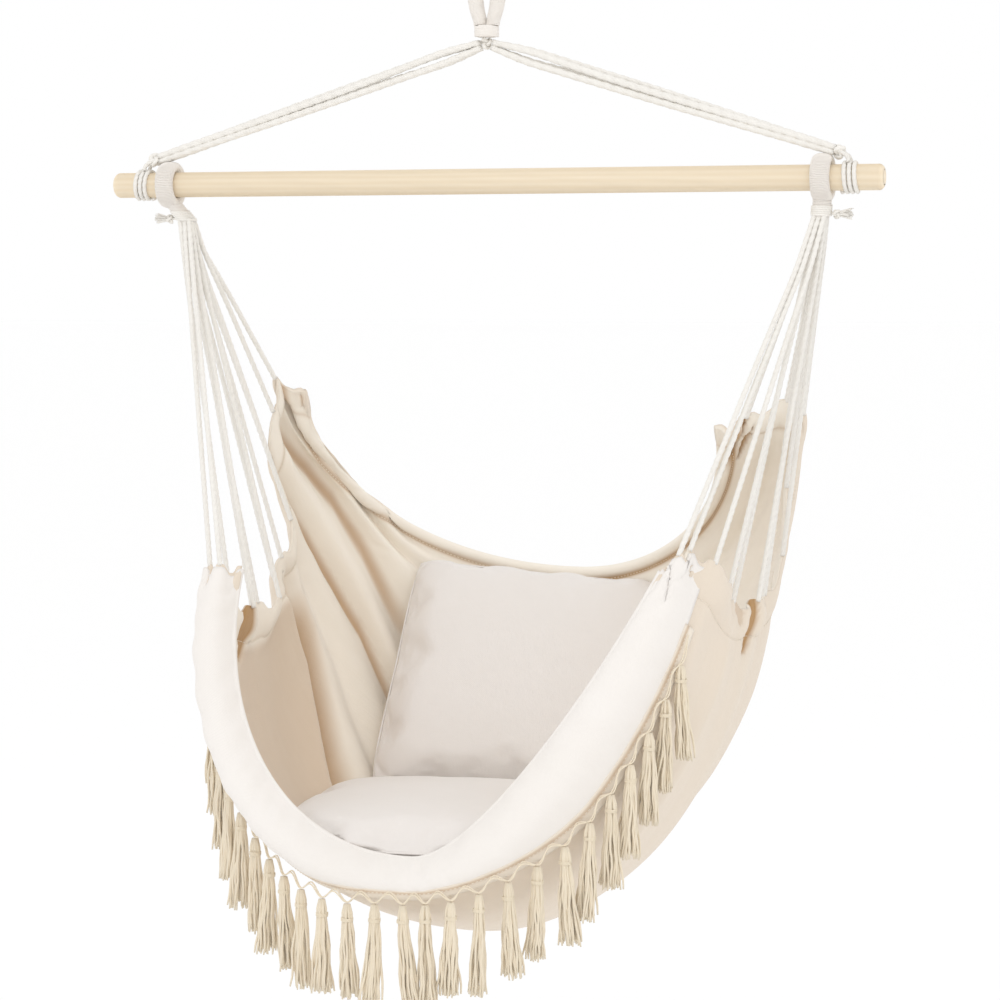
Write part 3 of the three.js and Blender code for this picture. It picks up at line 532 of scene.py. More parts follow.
def sheet_skin(skin, surface, us, vs, thickness, painted_shade_of=None):
    """A closed sheet over a surface of u and v; thickness is a function of both, and the other
    function gives the share of painted shade on each face.
    """
    grid_u, grid_v = np.meshgrid(us, vs)
    points = surface(grid_u, grid_v)
    normals = unit(np.cross(np.gradient(points, axis=0), np.gradient(points, axis=1)))
    half = thickness(grid_u, grid_v)[..., None] / 2
    outer, inner = points + normals * half, points - normals * half
    loops = np.concatenate((outer, inner[:, ::-1]), axis=1)
    values = 0.0
    if painted_shade_of is not None:
        outside, inside = painted_shade_of(grid_u, grid_v, 1), painted_shade_of(grid_u, grid_v, -1)
        values = np.concatenate((outside, inside[:, ::-1]), axis=1).ravel()
    first = skin.count
    skin.grid(loops, caps=False, values=values)
    rows, columns = grid_u.shape
    for row in (0, rows - 1):
        base = first + row * 2 * columns
        for column in range(columns - 1):
            a, b = base + column, base + column + 1
            c, d = base + 2 * columns - 2 - column, base + 2 * columns - 1 - column
            skin.faces.append([a, b, c, d])
            skin.uvs.append(np.zeros((4, 2)))


# Materials

class Wire:
    """An output of a node. Arithmetic on it adds Math nodes, and node() adds any other node."""

    def __init__(self, tree, socket=None):
        self.tree = tree
        self.socket = socket

    def node(self, kind, settings=None, sockets=None, output=0):
        """Adds a node: its settings first, then the values or links of its sockets."""
        added = self.tree.nodes.new(kind)
        for name, value in (settings or {}).items():
            if name == "stops":
                ramp = added.color_ramp
                while len(ramp.elements) < len(value):
                    ramp.elements.new(1)
                for element, (place, color) in zip(ramp.elements, value):
                    element.position = place
                    element.color = color
            else:
                setattr(added, name, value)
        for name, value in (sockets or {}).items():
            if isinstance(value, Wire):
                self.tree.links.new(value.socket, added.inputs[name])
            else:
                added.inputs[name].default_value = value
        return Wire(self.tree, added.outputs[output])

    def __add__(self, other):
        return self.node("ShaderNodeMath", {"operation": "ADD"}, {0: self, 1: other})

    __radd__ = __add__

    def __sub__(self, other):
        return self.node("ShaderNodeMath", {"operation": "SUBTRACT"}, {0: self, 1: other})

    def __rsub__(self, other):
        return self.node("ShaderNodeMath", {"operation": "SUBTRACT"}, {0: other, 1: self})

    def __mul__(self, other):
        return self.node("ShaderNodeMath", {"operation": "MULTIPLY"}, {0: self, 1: other})

    __rmul__ = __mul__


def wave_of(value):
    """The sine of a value."""
    return value.node("ShaderNodeMath", {"operation": "SINE"}, {0: value})


def kept_from_0_to_1(value):
    """A value that stays from 0 to 1."""
    return value.node("ShaderNodeMapRange", {"clamp": True}, {"Value": value})


def color_between(share, first, second):
    """A colour between two, by a share."""
    return share.node("ShaderNodeMix", {"data_type": "RGBA"}, {0: share, 6: first, 7: second}, 2)


def feed(value, socket):
    """Links a value to a socket of a shader."""
    value.tree.links.new(value.socket, socket)


def shade(color, shares=(1.0, 1.0, 1.0)):
    """A colour with its alpha, each channel scaled by its share."""
    return tuple(min(1.0, channel * share) for channel, share in zip(color, shares)) + (1.0,)


def own_place(wire):
    """The place of each point in its piece's own metres."""
    return wire.node("ShaderNodeTexCoord", None, None, 3)


def add_bump(wire, shader, height, strength, distance):
    """Raises the look of the surface by a height."""
    sockets = {"Height": height, "Strength": strength, "Distance": distance}
    feed(wire.node("ShaderNodeBump", None, sockets), shader["Normal"])


def noise_of(wire, vector, scale, detail=3.0):
    """A Noise Texture at a scale in cells a metre."""
    sockets = {"Vector": vector, "Scale": scale, "Detail": detail, "Roughness": 0.55}
    return wire.node("ShaderNodeTexNoise", None, sockets)


def stretched(wire, vector, scale):
    """A noise whose cells have a size of their own along each axis."""
    scaled = wire.node("ShaderNodeMapping", None, {"Vector": vector, "Scale": scale})
    return noise_of(wire, scaled, 1.0)


def new_material(name):
    """A material with a Principled shader, as its tree's wire and the shader's sockets."""
    material = bpy.data.materials.new(name)
    material.use_nodes = True
    tree = material.node_tree
    return material, Wire(tree), tree.nodes["Principled BSDF"].inputs


def woven_cloth(name, color, hollow, thread=0.0011, slub=0.3, streak=0.5):
    """Plain woven cotton: crossed threads, slubs, wrinkles, soft clouds, and warm painted shade where
    the mesh stores it.
    """
    material, wire, shader = new_material(name)
    uv = wire.node("ShaderNodeUVMap", {"uv_map": "thread"})
    place = own_place(wire)
    across = wire.node("ShaderNodeSeparateXYZ", None, {"Vector": uv}, 0)
    along = wire.node("ShaderNodeSeparateXYZ", None, {"Vector": uv}, 1)
    turns = math.pi / thread
    weave = wave_of(across * turns) * wave_of(along * turns)
    slubs = (stretched(wire, uv, (60, 1400, 1)) + stretched(wire, uv, (1400, 60, 1))) * 0.5
    cloud = noise_of(wire, place, scale=7.0, detail=4.0)
    wrinkle = noise_of(wire, place, scale=30.0)
    streaks = stretched(wire, uv, (5, 42, 1))
    tone = (slubs - 0.5) * slub + (cloud - 0.5) * 0.6 + (streaks - 0.5) * streak + 0.5
    dark, light = shade(color, (0.94, 0.925, 0.895)), shade(color, (1.03, 1.03, 1.03))
    cloth = color_between(kept_from_0_to_1(tone), dark, light)
    # Painted shade: the colour turns towards the shade colour by the share stored on each point, with
    # a little cloud in it
    depth = wire.node("ShaderNodeAttribute", {"attribute_name": "hollow"}, None, 2)
    shade_share = kept_from_0_to_1(depth + (cloud - 0.5) * 0.25 * depth)
    feed(color_between(shade_share, cloth, shade(hollow)), shader["Base Color"])
    height = weave * 0.1 + slubs * 0.4 + wrinkle * 1.4 + streaks * (3.0 * streak)
    add_bump(wire, shader, height, strength=0.4, distance=0.0022)
    feed(slubs * 0.12 + 0.84, shader["Roughness"])
    shader["Sheen Weight"].default_value = 0.2
    shader["Sheen Roughness"].default_value = 0.5
    return material


def spun_cotton(name, color, fibre=0.0006, contrast=0.4):
    """Spun cotton cord: fibres along the yarn's UV, with darker hollows and soft fuzz."""
    material, wire, shader = new_material(name)
    uv = wire.node("ShaderNodeUVMap", {"uv_map": "thread"})
    place = own_place(wire)
    fibres = stretched(wire, uv, (1 / fibre, 0.18 / fibre, 1))
    cloud = noise_of(wire, place, scale=22.0)
    tone = kept_from_0_to_1((fibres - 0.5) * contrast + (cloud - 0.5) * 0.6 + 0.55)
    base = color_between(tone, shade(color, (0.9, 0.875, 0.83)), shade(color, (1.03, 1.03, 1.02)))
    feed(base, shader["Base Color"])
    add_bump(wire, shader, fibres, strength=0.35, distance=0.0005)
    feed(fibres * 0.15 + 0.8, shader["Roughness"])
    shader["Sheen Weight"].default_value = 0.25
    shader["Sheen Roughness"].default_value = 0.45
    return material


def sanded_pine(name, color):
    """Bare sanded pine with its grain along X, rings at the ends and faint scratches."""
    material, wire, shader = new_material(name)
    place = own_place(wire)
    across_the_log = {"Vector": place, "Scale": (1.3, 26, 26), "Location": (0, 0.12, 0.3)}
    bent = wire.node("ShaderNodeMapping", None, across_the_log)
    drift = noise_of(wire, bent, scale=1.4)
    rings = wire.node(
        "ShaderNodeTexWave", {"wave_type": "RINGS", "rings_direction": "X"},
        {"Vector": bent, "Scale": 1.6, "Distortion": 6.0, "Detail": 3.0, "Detail Scale": 0.7},
        1,
    )
    fine = stretched(wire, place, (18, 900, 900))
    tone = kept_from_0_to_1(rings * 0.3 + drift * 0.45 + fine * 0.2)
    base = color_between(tone, shade(color, (1.05, 1.05, 1.05)), shade(color, (0.93, 0.87, 0.76)))
    feed(base, shader["Base Color"])
    add_bump(wire, shader, fine + rings * 0.3, strength=0.12, distance=0.0004)
    feed(fine * 0.2 + 0.45, shader["Roughness"])
    return material


MATERIALS = {}


def material_of(name):
    """A finish by its name, made the first time that it is asked for."""
    colors = bpy.context.scene.hammock_colors
    makers = {
        "canvas": lambda: woven_cloth("natural_canvas", colors.canvas, colors.hollow),
        "band": lambda: woven_cloth("band_canvas", colors.band, colors.hollow, streak=0.15),
        "cover": lambda: woven_cloth(
            "cushion_cover_cotton", colors.cover, colors.hollow,
            thread=0.0009, slub=0.2, streak=0.0,
        ),
        "cord": lambda: spun_cotton("laid_cotton_cord", colors.cord),
        "served": lambda: spun_cotton("served_cotton", colors.served, fibre=0.0005, contrast=0.25),
        "fringe": lambda: spun_cotton("fringe_yarn", colors.fringe, fibre=0.0004, contrast=0.5),
        "stitch": lambda: spun_cotton("sewing_thread", colors.stitch, fibre=0.0002, contrast=0.2),
        "pine": lambda: sanded_pine("sanded_pine", colors.pine),
    }
    if name not in MATERIALS:
        MATERIALS[name] = makers[name]()
    return MATERIALS[name]


# Sizes and colours

def length(name, description, default):
    """A length in metres that a user can change."""
    return FloatProperty(name=name, description=description, default=default, min=0, unit="LENGTH")


def number(name, description, default, least):
    """A whole number that a user can change."""
    return IntProperty(name=name, description=description, default=default, min=least)


def tint(name, description, default):
    """A colour that a user can change."""
    return FloatVectorProperty(
        name=name, description=description, default=default, subtype="COLOR", min=0, max=1,
    )


class CordSizes(bpy.types.PropertyGroup):
    fan: length("Fan cord", "Diameter of a fan cord", 0.0068)
    strand: length("Strand", "Diameter of a suspension strand", 0.0094)
    hitch: length("Hitch", "Diameter of the cord wound on the bar", 0.006)
    served: length("Served turn", "Diameter of the cord served round loop and collars", 0.0017)


class ClothSizes(bpy.types.PropertyGroup):
    thickness: length("Thickness", "Thickness of the sling's canvas", 0.0018)
    casing: length("Casing", "Thickness that the folded hems add", 0.008)
    band: length("Band", "Thickness of the padded front band", 0.0045)
    across: number("Cells across", "Cells of the cloth from hem to hem", 210, 20)
    back: number("Cells back", "Cells of the cloth from front to back", 230, 20)


class FringeSizes(bpy.types.PropertyGroup):
    tassels: number("Tassels", "Tassels of the fringe", 25, 2)
    strands: number("Strands", "Yarns of one tassel", 42, 4)
    drop: length("Drop", "Length of a tassel", 0.113)
    yarn: length("Yarn", "Diameter of one yarn", 0.0029)


class FinishColors(bpy.types.PropertyGroup):
    canvas: tint("Canvas", "Natural cotton of the sling", (0.92, 0.86, 0.77))
    # The colour of the painted shade that the canvas turns towards in folds, slots, the seam, the back
    # hem's crease and over the outer face
    hollow: tint("Painted shade", "Natural cotton in the hollows of its folds", (0.47, 0.28, 0.125))
    band: tint("Band", "Cotton of the front band", (0.875, 0.84, 0.81))
    cover: tint("Cover", "Cotton of the cushion covers", (0.825, 0.785, 0.76))
    cord: tint("Cord", "Cotton cord", (0.895, 0.875, 0.845))
    served: tint("Served cord", "Thin cord served round the loop and collars", (0.90, 0.865, 0.835))
    fringe: tint("Fringe", "Natural yarn of the fringe", (0.84, 0.75, 0.605))
    stitch: tint("Stitch", "Sewing thread", (0.84, 0.78, 0.68))
    pine: tint("Pine", "Bare pine", (0.89, 0.785, 0.625))


# Operators

# The camera, its focal length in pixels, and how many pixels the level line to the chair's axis
# lies above and beside the picture's middle
CAMERA_SIDE = math.radians(17)
CAMERA_DISTANCE = 4.0
CAMERA_BELOW_BAR = 0.15
CAMERA_LENS = 115.09
SENSOR_WIDTH = 36
FOCAL_PIXELS = 3197
TILT_PIXELS = 198
TURN_PIXELS = 13.2


class HAMMOCK_OT_camera(bpy.types.Operator):
    """Sets the camera a little to the right of the front, and a little lower than the bar"""
    bl_idname = "hammock.camera"
    bl_label = "Camera"

    def execute(self, context):
        data = bpy.data.cameras.new("front_camera")
        data.sensor_width = SENSOR_WIDTH
        data.lens = CAMERA_LENS
        camera = bpy.data.objects.new("front_camera", data)
        context.collection.objects.link(camera)
        across = CAMERA_DISTANCE * math.sin(CAMERA_SIDE)
        back = -CAMERA_DISTANCE * math.cos(CAMERA_SIDE)
        camera.location = (across, back, -CAMERA_BELOW_BAR - BAR_DROP)
        tilt = math.atan(TILT_PIXELS / FOCAL_PIXELS)
        turn = math.atan(TURN_PIXELS / FOCAL_PIXELS)
        camera.rotation_euler = (math.pi / 2 - tilt, 0, CAMERA_SIDE - turn)
        context.scene.camera = camera
        return {"FINISHED"}


# How far a fan cord runs into the collar's neck and into the hem, and the lays of the cords in
# diameters
CORD_INTO_NECK = 0.004
CORD_INTO_HEM = 0.003
FAN_LAY = 4.5
STRAND_LAY = 5.0
STRANDS = 4
STRAND_SLIM_ENDS = 0.15
STRAND_SLOPE = 0.35

# The knot that the strands end in, and its two legs down to the bar: out along the bar, share
# of the lane that each leg keeps, and up
STRAND_KNOT_SIZE = 0.0072
STRAND_KNOT_CORD = 0.0062
KNOT_LEG_CORD = 0.0056
KNOT_LEG_LANE = 0.0045
KNOT_LEG = ((-0.002, 1, 0.001), (0.005, 1.4, -0.002), (0.011, 1.7, -0.0075), (0.0125, 2.2, -0.013))


class HAMMOCK_OT_fan_cords(bpy.types.Operator):
    """Lays the twenty-six fan cords from the collars to the hems"""
    bl_idname = "hammock.fan_cords"
    bl_label = "Fan Cords"

    def execute(self, context):
        sizes = context.scene.hammock_cords
        for side, _ in SIDES:
            for cord in range(1, STATIONS):
                node = f"fan_cord_{side}_{cord}"
                line = node_line(node)
                start = line[0] + unit(line[0] - line[1]) * CORD_INTO_NECK
                end = line[-1] + unit(line[-1] - line[-2]) * CORD_INTO_HEM
                skin = Skin()
                rope(skin, np.vstack((start, line, end)), sizes.fan, FAN_LAY)
                skin.finish(f"rope_{side}_{cord}", "cord", "sling", "cotton_cord", node)
        return {"FINISHED"}


class HAMMOCK_OT_strands(bpy.types.Operator):
    """Lays the eight suspension strands and ties the knots that they end in"""
    bl_idname = "hammock.strands"
    bl_label = "Suspension Strands"

    def execute(self, context):
        sizes = context.scene.hammock_cords
        for side, sign in SIDES:
            for strand in range(1, STRANDS + 1):
                node = f"strand_{side}_{strand}"
                skin = Skin()
                rope(skin, node_line(node), sizes.strand, STRAND_LAY, slim_ends=STRAND_SLIM_ENDS)
                skin.finish(f"line_{side}_{strand}", "cord", "suspension", "cotton_cord", node)
            node = f"strand_knot_{side}"
            low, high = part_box(node)
            knot = (low + high) / 2
            skin = Skin()
            overhand_knot(skin, knot, STRAND_KNOT_SIZE, STRAND_KNOT_CORD, (sign, 0, -STRAND_SLOPE))
            for lane in (-KNOT_LEG_LANE, KNOT_LEG_LANE):
                leg = [(sign * out, lane * share, up) for out, share, up in KNOT_LEG]
                rope(skin, np.array(knot) + np.array(leg), KNOT_LEG_CORD)
            skin.finish(f"knot_{side}", "cord", "suspension", "cotton_cord", node)
        return {"FINISHED"}


# The hanging loop's rope, its legs (out as a share of the leg's place, up as a share of the
# height) and its eye
LOOP_THICK = 0.0100
LOOP_FOOT_THICK = 0.0088
LOOP_SWELL_SHARE = 0.14
LOOP_LEG = 0.0080
LEG_SHARES = ((1, 0), (1.1, 0.06), (1.5, 0.17), (1.88, 0.34))
EYE_HALF_WIDTH = 0.024
EYE_PLACE_SHARE = 0.66
EYE_SHOULDER_SHARES = (0.72, 0.28)
LOOP_STEP = 0.0012
TURN_SIDES = 16
SERVING_PITCH_SHARE = 0.96

# The neck's outline as shares of its radius and height, its seizing and the crown knot
NECK_SHARES = (
    (0.5, 0.0), (0.9, 0.0), (0.98, 0.12), (1.0, 0.3),
    (1.0, 0.8), (0.97, 0.92), (0.85, 1.0), (0.4, 1.0),
)
SEIZING_INSET = 0.0013
SEIZING_LAYER = 0.0009
SEIZING_END = 0.0012
SEIZING_PITCH_SHARE = 1.05
SEIZING_RADIUS_SHARE = 0.75
CROWN_KNOT_SIZE = 0.0059
CROWN_KNOT_CORD = 0.005


class HAMMOCK_OT_hanger(bpy.types.Operator):
    """Serves the hanging loop and its neck, and ties the crown knot in it"""
    bl_idname = "hammock.hanger"
    bl_label = "Hanging Loop"

    def execute(self, context):
        turn = context.scene.hammock_cords.served
        self.loop(turn)
        self.neck(turn)
        low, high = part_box("crown_knot")
        skin = Skin()
        overhand_knot(skin, (low + high) / 2, CROWN_KNOT_SIZE, CROWN_KNOT_CORD, (0, 1, 0))
        skin.finish("turk_knot", "cord", "crown", "cotton_cord", "crown_knot")
        return {"FINISHED"}

    def loop(self, turn):
        """The eye that the hook passes through, of rope served with thin cord."""
        low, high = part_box("hanging_loop")
        foot, crown = low.z, high.z - LOOP_THICK
        height = crown - foot
        out, down = EYE_SHOULDER_SHARES
        side = [(LOOP_LEG * share, 0, foot + height * up) for share, up in LEG_SHARES]
        side.append((EYE_HALF_WIDTH, 0, foot + height * EYE_PLACE_SHARE))
        side.append((EYE_HALF_WIDTH * out, 0, crown - EYE_HALF_WIDTH * down))
        other_side = [(-x, y, z) for x, y, z in reversed(side)]
        line = resampled(np.array(side + [(0, 0, crown)] + other_side), LOOP_STEP)
        lengths = lengths_along(line)
        ends = np.minimum(lengths, lengths[-1] - lengths) / lengths[-1]
        radii = lerp(LOOP_FOOT_THICK, LOOP_THICK, smoothstep(ends, 0, LOOP_SWELL_SHARE)) - turn / 2
        skin = Skin()
        skin.tube(line, radii, sides=24)
        _, normals, binormals = transported(line)
        turns = lengths[-1] / (turn * SERVING_PITCH_SHARE)
        angle = np.linspace(0, 2 * math.pi * turns, int(turns * TURN_SIDES))
        share = angle / angle[-1] * lengths[-1]
        mid, n, b = (vectors_at(share, lengths, values) for values in (line, normals, binormals))
        reach = np.interp(share, lengths, radii)[:, None]
        around = n * np.cos(angle)[:, None] + b * np.sin(angle)[:, None]
        skin.tube(mid + reach * around, turn / 2, sides=5)
        skin.finish("served_loop", "served", "eye", "served_rope", "hanging_loop")

    def neck(self, turn):
        """The neck under the loop, and the turns of thin cord that bind it."""
        low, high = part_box("hanger_neck")
        skin = Skin()
        radius = (high.x - low.x) / 2
        around = circle(40)
        rows = []
        for out, up in NECK_SHARES:
            across, back = radius * out * np.cos(around), radius * out * np.sin(around)
            rows.append(np.stack((across, back, 0 * around + lerp(low.z, high.z, up)), axis=1))
        skin.grid(rows)
        skin.finish("neck_core", "served", "neck", "served_rope", "hanger_neck")
        low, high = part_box("neck_seizing")
        skin = Skin()
        ring = (high.x - low.x) / 2 - SEIZING_INSET
        for layer in (ring - SEIZING_LAYER, ring):
            oval_turns(
                skin, lambda z: 0 * z, lambda z: layer + 0 * z, lambda z: layer + 0 * z,
                high.z - SEIZING_END, low.z + SEIZING_END,
                turn * SEIZING_PITCH_SHARE, turn * SEIZING_RADIUS_SHARE,
            )
        skin.finish("neck_turns", "served", "neck", "cotton_cord", "neck_seizing")


BAR_END_ROUND = 0.006
BAR_SIDES = 72


class HAMMOCK_OT_bar(bpy.types.Operator):
    """Turns the spreader bar and rounds its ends"""
    bl_idname = "hammock.bar"
    bl_label = "Spreader Bar"

    def execute(self, context):
        low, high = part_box("spreader_bar")
        bpy.ops.object.select_all(action="DESELECT")
        bpy.ops.mesh.primitive_cylinder_add(
            vertices=BAR_SIDES, radius=(high.z - low.z) / 2, depth=high.x - low.x,
            location=(low + high) / 2, rotation=(0, math.pi / 2, 0),
        )
        bar = context.object
        bar.name = "turned_bar"
        bpy.ops.object.transform_apply(location=True, rotation=True, scale=True)
        half = (high.x - low.x) / 2
        for face in bar.data.polygons:
            face.select = False
        for edge in bar.data.edges:
            ends = [bar.data.vertices[index].co for index in edge.vertices]
            edge.select = all(abs(abs(end.x) - half) < 1e-5 for end in ends)
        bpy.ops.object.mode_set(mode="EDIT")
        bpy.context.tool_settings.mesh_select_mode = (False, True, False)
        bpy.ops.mesh.bevel(offset=BAR_END_ROUND, segments=6, affect="EDGES")
        bpy.ops.object.mode_set(mode="OBJECT")
        bpy.ops.object.shade_smooth_by_angle(angle=math.radians(35))
        finish_piece(bar, "pine", "suspension", "pine", "spreader_bar")
        return {"FINISHED"}


HITCH_TURNS = 3
HITCH_GAP = 0.0003


class HAMMOCK_OT_hitches(bpy.types.Operator):
    """Winds the turns of cord round the bar, outside each collar"""
    bl_idname = "hammock.hitches"
    bl_label = "Bar Hitches"

    def execute(self, context):
        size = context.scene.hammock_cords.hitch
        pitch = size + HITCH_GAP
        angle = np.linspace(0, 2 * math.pi * HITCH_TURNS, HITCH_TURNS * 40)
        for side, sign in SIDES:
            low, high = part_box(f"bar_hitch_{side}")
            radius = (high.z - low.z) / 2 - size / 2
            foot = (low.x + high.x) / 2 - sign * HITCH_TURNS * pitch / 2
            line = np.stack((
                foot + sign * pitch * angle / (2 * math.pi),
                radius * np.sin(angle),
                -BAR_DROP - radius * np.cos(angle),
            ), axis=1)
            skin = Skin()
            rope(skin, line, size)
            skin.finish(f"hitch_{side}", "cord", "suspension", "cotton_cord", f"bar_hitch_{side}")
        return {"FINISHED"}


# A collar's eye on the bar, how far each collar's neck leans inward, and where the neck starts
# and ends under the bar's middle
COLLAR_PLACE = 0.4245
COLLAR_BORE = 0.01535
COLLAR_WALL = 0.014
COLLAR_WIDTH = 0.0255
COLLAR_FLATNESS = 0.8
COLLAR_NARROW_SHARE = 0.86
COLLAR_TURNS = 82
COLLAR_LEANS = {"left": 0.024, "right": 0.002}
COLLAR_NECK_TOP = COLLAR_BORE + COLLAR_WALL * 0.3
COLLAR_NECK_DROP = 0.047

# The collar's neck as shares of the eye's width at its top, and in metres at its end
NECK_TOP_SHARES = (0.84, 0.82)
NECK_END_SIZES = (0.02, 0.031)
NECK_SERVING_LIFT_SHARE = 0.3
NECK_SERVING_START = 0.002
NECK_SERVING_END = 0.0365
NECK_SERVING_PITCH_SHARE = 1.06
WHIPPING_LIFT = 0.0016
WHIPPING_END = 0.0013
WHIPPING_PITCH = 0.0024
WHIPPING_RADIUS = 0.0014

# The tied tail of a whipping, and its frayed threads
TAIL_SEED = 7
TAIL_KNOT_PLACE = 0.005
TAIL_KNOT_SIZE = 0.0047
TAIL_CORD = 0.004
TAIL_LINE = ((-0.011, 0, 0.001), (-0.004, 0, 0.001), (0.005, 0, 0))
TAIL_THREADS = 46
TAIL_THREAD_START = 0.008
TAIL_THREAD_REACH = (0.012, 0.006)
TAIL_SPREAD = (0.0012, 0.0022)
TAIL_THREAD_RADII = (0.0009, 0.0005)


class HAMMOCK_OT_collars(bpy.types.Operator):
    """Serves the collars' eyes and necks, and binds them with their whippings and tails"""
    bl_idname = "hammock.collars"
    bl_label = "Collars"

    def execute(self, context):
        rng = np.random.default_rng(TAIL_SEED)
        for side, sign in SIDES:
            self.collar(context, side, sign)
            self.tail(side, sign, rng)
        return {"FINISHED"}

    def collar(self, context, side, sign):
        """The eye on the bar and the neck under it, both served with thin cord."""
        turn = context.scene.hammock_cords.served
        place = sign * COLLAR_PLACE
        middle = COLLAR_BORE + COLLAR_WALL / 2
        skin = Skin()

        def eye_point(around_bar, around, shrink):
            reach = middle + (COLLAR_WALL / 2 - shrink) * np.cos(around)
            bulge = np.sign(np.sin(around)) * np.abs(np.sin(around)) ** COLLAR_FLATNESS
            flank = bulge * (COLLAR_WIDTH / 2 - shrink)
            across = place + flank * lerp(1, COLLAR_NARROW_SHARE, 0.5 - 0.5 * np.cos(around))
            back, up = reach * np.sin(around_bar), -BAR_DROP + reach * np.cos(around_bar)
            return np.stack((across, back, up), axis=-1)

        steps, sections = circle(96)[:, None], circle(24)[None, :]
        skin.grid(eye_point(steps + 0 * sections, sections + 0 * steps, turn / 2), wrap_rows=True)
        angle = np.linspace(0, 2 * math.pi * COLLAR_TURNS, COLLAR_TURNS * 24, endpoint=False)
        skin.tube(eye_point(angle / COLLAR_TURNS, angle, turn / 4), turn / 2, closed=True, sides=5)

        def share_of(z):
            return (-z - BAR_DROP - COLLAR_NECK_TOP) / (COLLAR_NECK_DROP - COLLAR_NECK_TOP)

        def centre(z):
            return place - sign * COLLAR_LEANS[side] * share_of(z)

        def half_width(z):
            return lerp(COLLAR_WIDTH * NECK_TOP_SHARES[0], NECK_END_SIZES[0], share_of(z)) / 2

        def half_depth(z):
            return lerp(COLLAR_WIDTH * NECK_TOP_SHARES[1], NECK_END_SIZES[1], share_of(z)) / 2

        around = circle(36)
        rows = []
        for z in np.linspace(-BAR_DROP - COLLAR_NECK_TOP, -BAR_DROP - COLLAR_NECK_DROP, 12):
            across = centre(z) + half_width(z) * np.cos(around)
            rows.append(np.stack((across, half_depth(z) * np.sin(around), z + 0 * around), axis=1))
        skin.grid(rows)
        lift = turn * NECK_SERVING_LIFT_SHARE
        oval_turns(
            skin, centre, lambda z: half_width(z) + lift, lambda z: half_depth(z) + lift,
            -BAR_DROP - COLLAR_NECK_TOP - NECK_SERVING_START, -BAR_DROP - NECK_SERVING_END,
            turn * NECK_SERVING_PITCH_SHARE, turn / 2,
        )
        skin.finish(f"served_collar_{side}", "served", "sling", "served_rope", f"collar_{side}")

        skin = Skin()
        low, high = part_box(f"collar_whipping_{side}")
        oval_turns(
            skin, centre,
            lambda z: half_width(z) + WHIPPING_LIFT, lambda z: half_depth(z) + WHIPPING_LIFT,
            high.z - WHIPPING_END, low.z + WHIPPING_END, WHIPPING_PITCH, WHIPPING_RADIUS,
        )
        skin.finish(f"whipping_{side}", "cord", "sling", "cotton_cord", f"collar_whipping_{side}")

    def tail(self, side, sign, rng):
        """The tied end of the whipping, frayed to a brush."""
        low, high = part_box(f"tail_knot_{side}")
        inner = low.x if sign > 0 else high.x
        root = np.array((inner, (low.y + high.y) / 2, (low.z + high.z) / 2))
        skin = Skin()
        knot = root + (sign * TAIL_KNOT_PLACE, 0, 0)
        overhand_knot(skin, knot, TAIL_KNOT_SIZE, TAIL_CORD, (sign, 0, 0))
        rope(skin, root + np.array(TAIL_LINE) * (sign, 1, 1), TAIL_CORD)
        share = np.linspace(0, 1, 6)
        for _ in range(TAIL_THREADS):
            spread = rng.normal(0, 1, 2)
            reach = TAIL_THREAD_REACH[0] + TAIL_THREAD_REACH[1] * rng.random()
            fan = TAIL_SPREAD[0] + TAIL_SPREAD[1] * share
            along = sign * (TAIL_THREAD_START + reach * share)
            points = root + np.stack((along, spread[0] * fan, spread[1] * fan), axis=1)
            skin.tube(points, lerp(*TAIL_THREAD_RADII, share), sides=4)
        skin.finish(f"frayed_tail_{side}", "cord", "sling", "cotton_cord", f"tail_knot_{side}")


# The folded casings: where the side hems' start and how wide they are as shares of the reach,
# how thick the back hem's roll is at the middle and how much of that it loses to the sides
CASING_START = 0.93
CASING_WIDTH = 0.07
CASING_CLOSED = 0.97
CASING_ROUNDNESS = 0.6
BACK_ROLL = 1.7
BACK_ROLL_LOSS = 0.9
BACK_ROLL_REACH = (0.8, 1)


def cloth_thickness(u, v, sizes):
    """The canvas, with the folded casings of its side hems and of its back hem."""
    side = np.clip((np.abs(u) - CASING_START) / CASING_WIDTH, 0, CASING_CLOSED)
    back = np.clip((v - BACK_HEM_SHARE) / (1 - BACK_HEM_SHARE), 0, CASING_CLOSED)
    rolled = BACK_ROLL - BACK_ROLL_LOSS * smoothstep(np.abs(u), *BACK_ROLL_REACH)
    side_roll = np.sin(math.pi * side) ** CASING_ROUNDNESS
    casing = np.maximum(side_roll, rolled * np.sin(math.pi * back) ** CASING_ROUNDNESS)
    return sizes.thickness + sizes.casing * casing


# How dark the shade painted into the folds is on the left and right wall, and from which depth in
# millimetres
FOLD_DARKNESS = (0.88, 0.04)
FOLD_DEPTHS = (2.0, 15.0)
FOLD_START = (0.25, 0.5)
FOLD_END = (0.86, 0.93)
FOLD_END_LOSS = 0.7

# Painted shade on the left wall's inside: the shaded panel at its front, which ends at a fold's edge,
# the dark valley beside it, and a warm shade over that wall
PANEL_DARKNESS = 0.48
PANEL_EDGE = (-0.004, 0.012)
PANEL_FRONT = (0.2, 0.3)
PANEL_START = (0.2, 0.4)
PANEL_END = (0.9, 0.93)
VALLEY_DARKNESS = 0.8
VALLEY_WIDTHS = (0.016, 0.03)
VALLEY_END = (0.78, 0.9)
WALL_SHADE_DARKNESS = 0.08
WALL_SHADE_START = (0.2, 0.45)
WALL_SHADE_END = (0.72, 0.88)

# Painted shade in the crease along the back hem, which is darker to the right of one reach, along the
# seam of the side hems, in the slots and over the whole outer face
CREASE_DARKNESS = (1.0, 0.7)
CREASE_DARKER_FROM = 0.05
CREASE_PLACE = 0.004
CREASE_WIDTH = 0.008
SEAM_DARKNESS = 0.3
SEAM_REACH = 0.928
SEAM_WIDTH = 0.006
SLOT_DARKNESS = 1.15
OUTSIDE_DARKNESS = 0.27


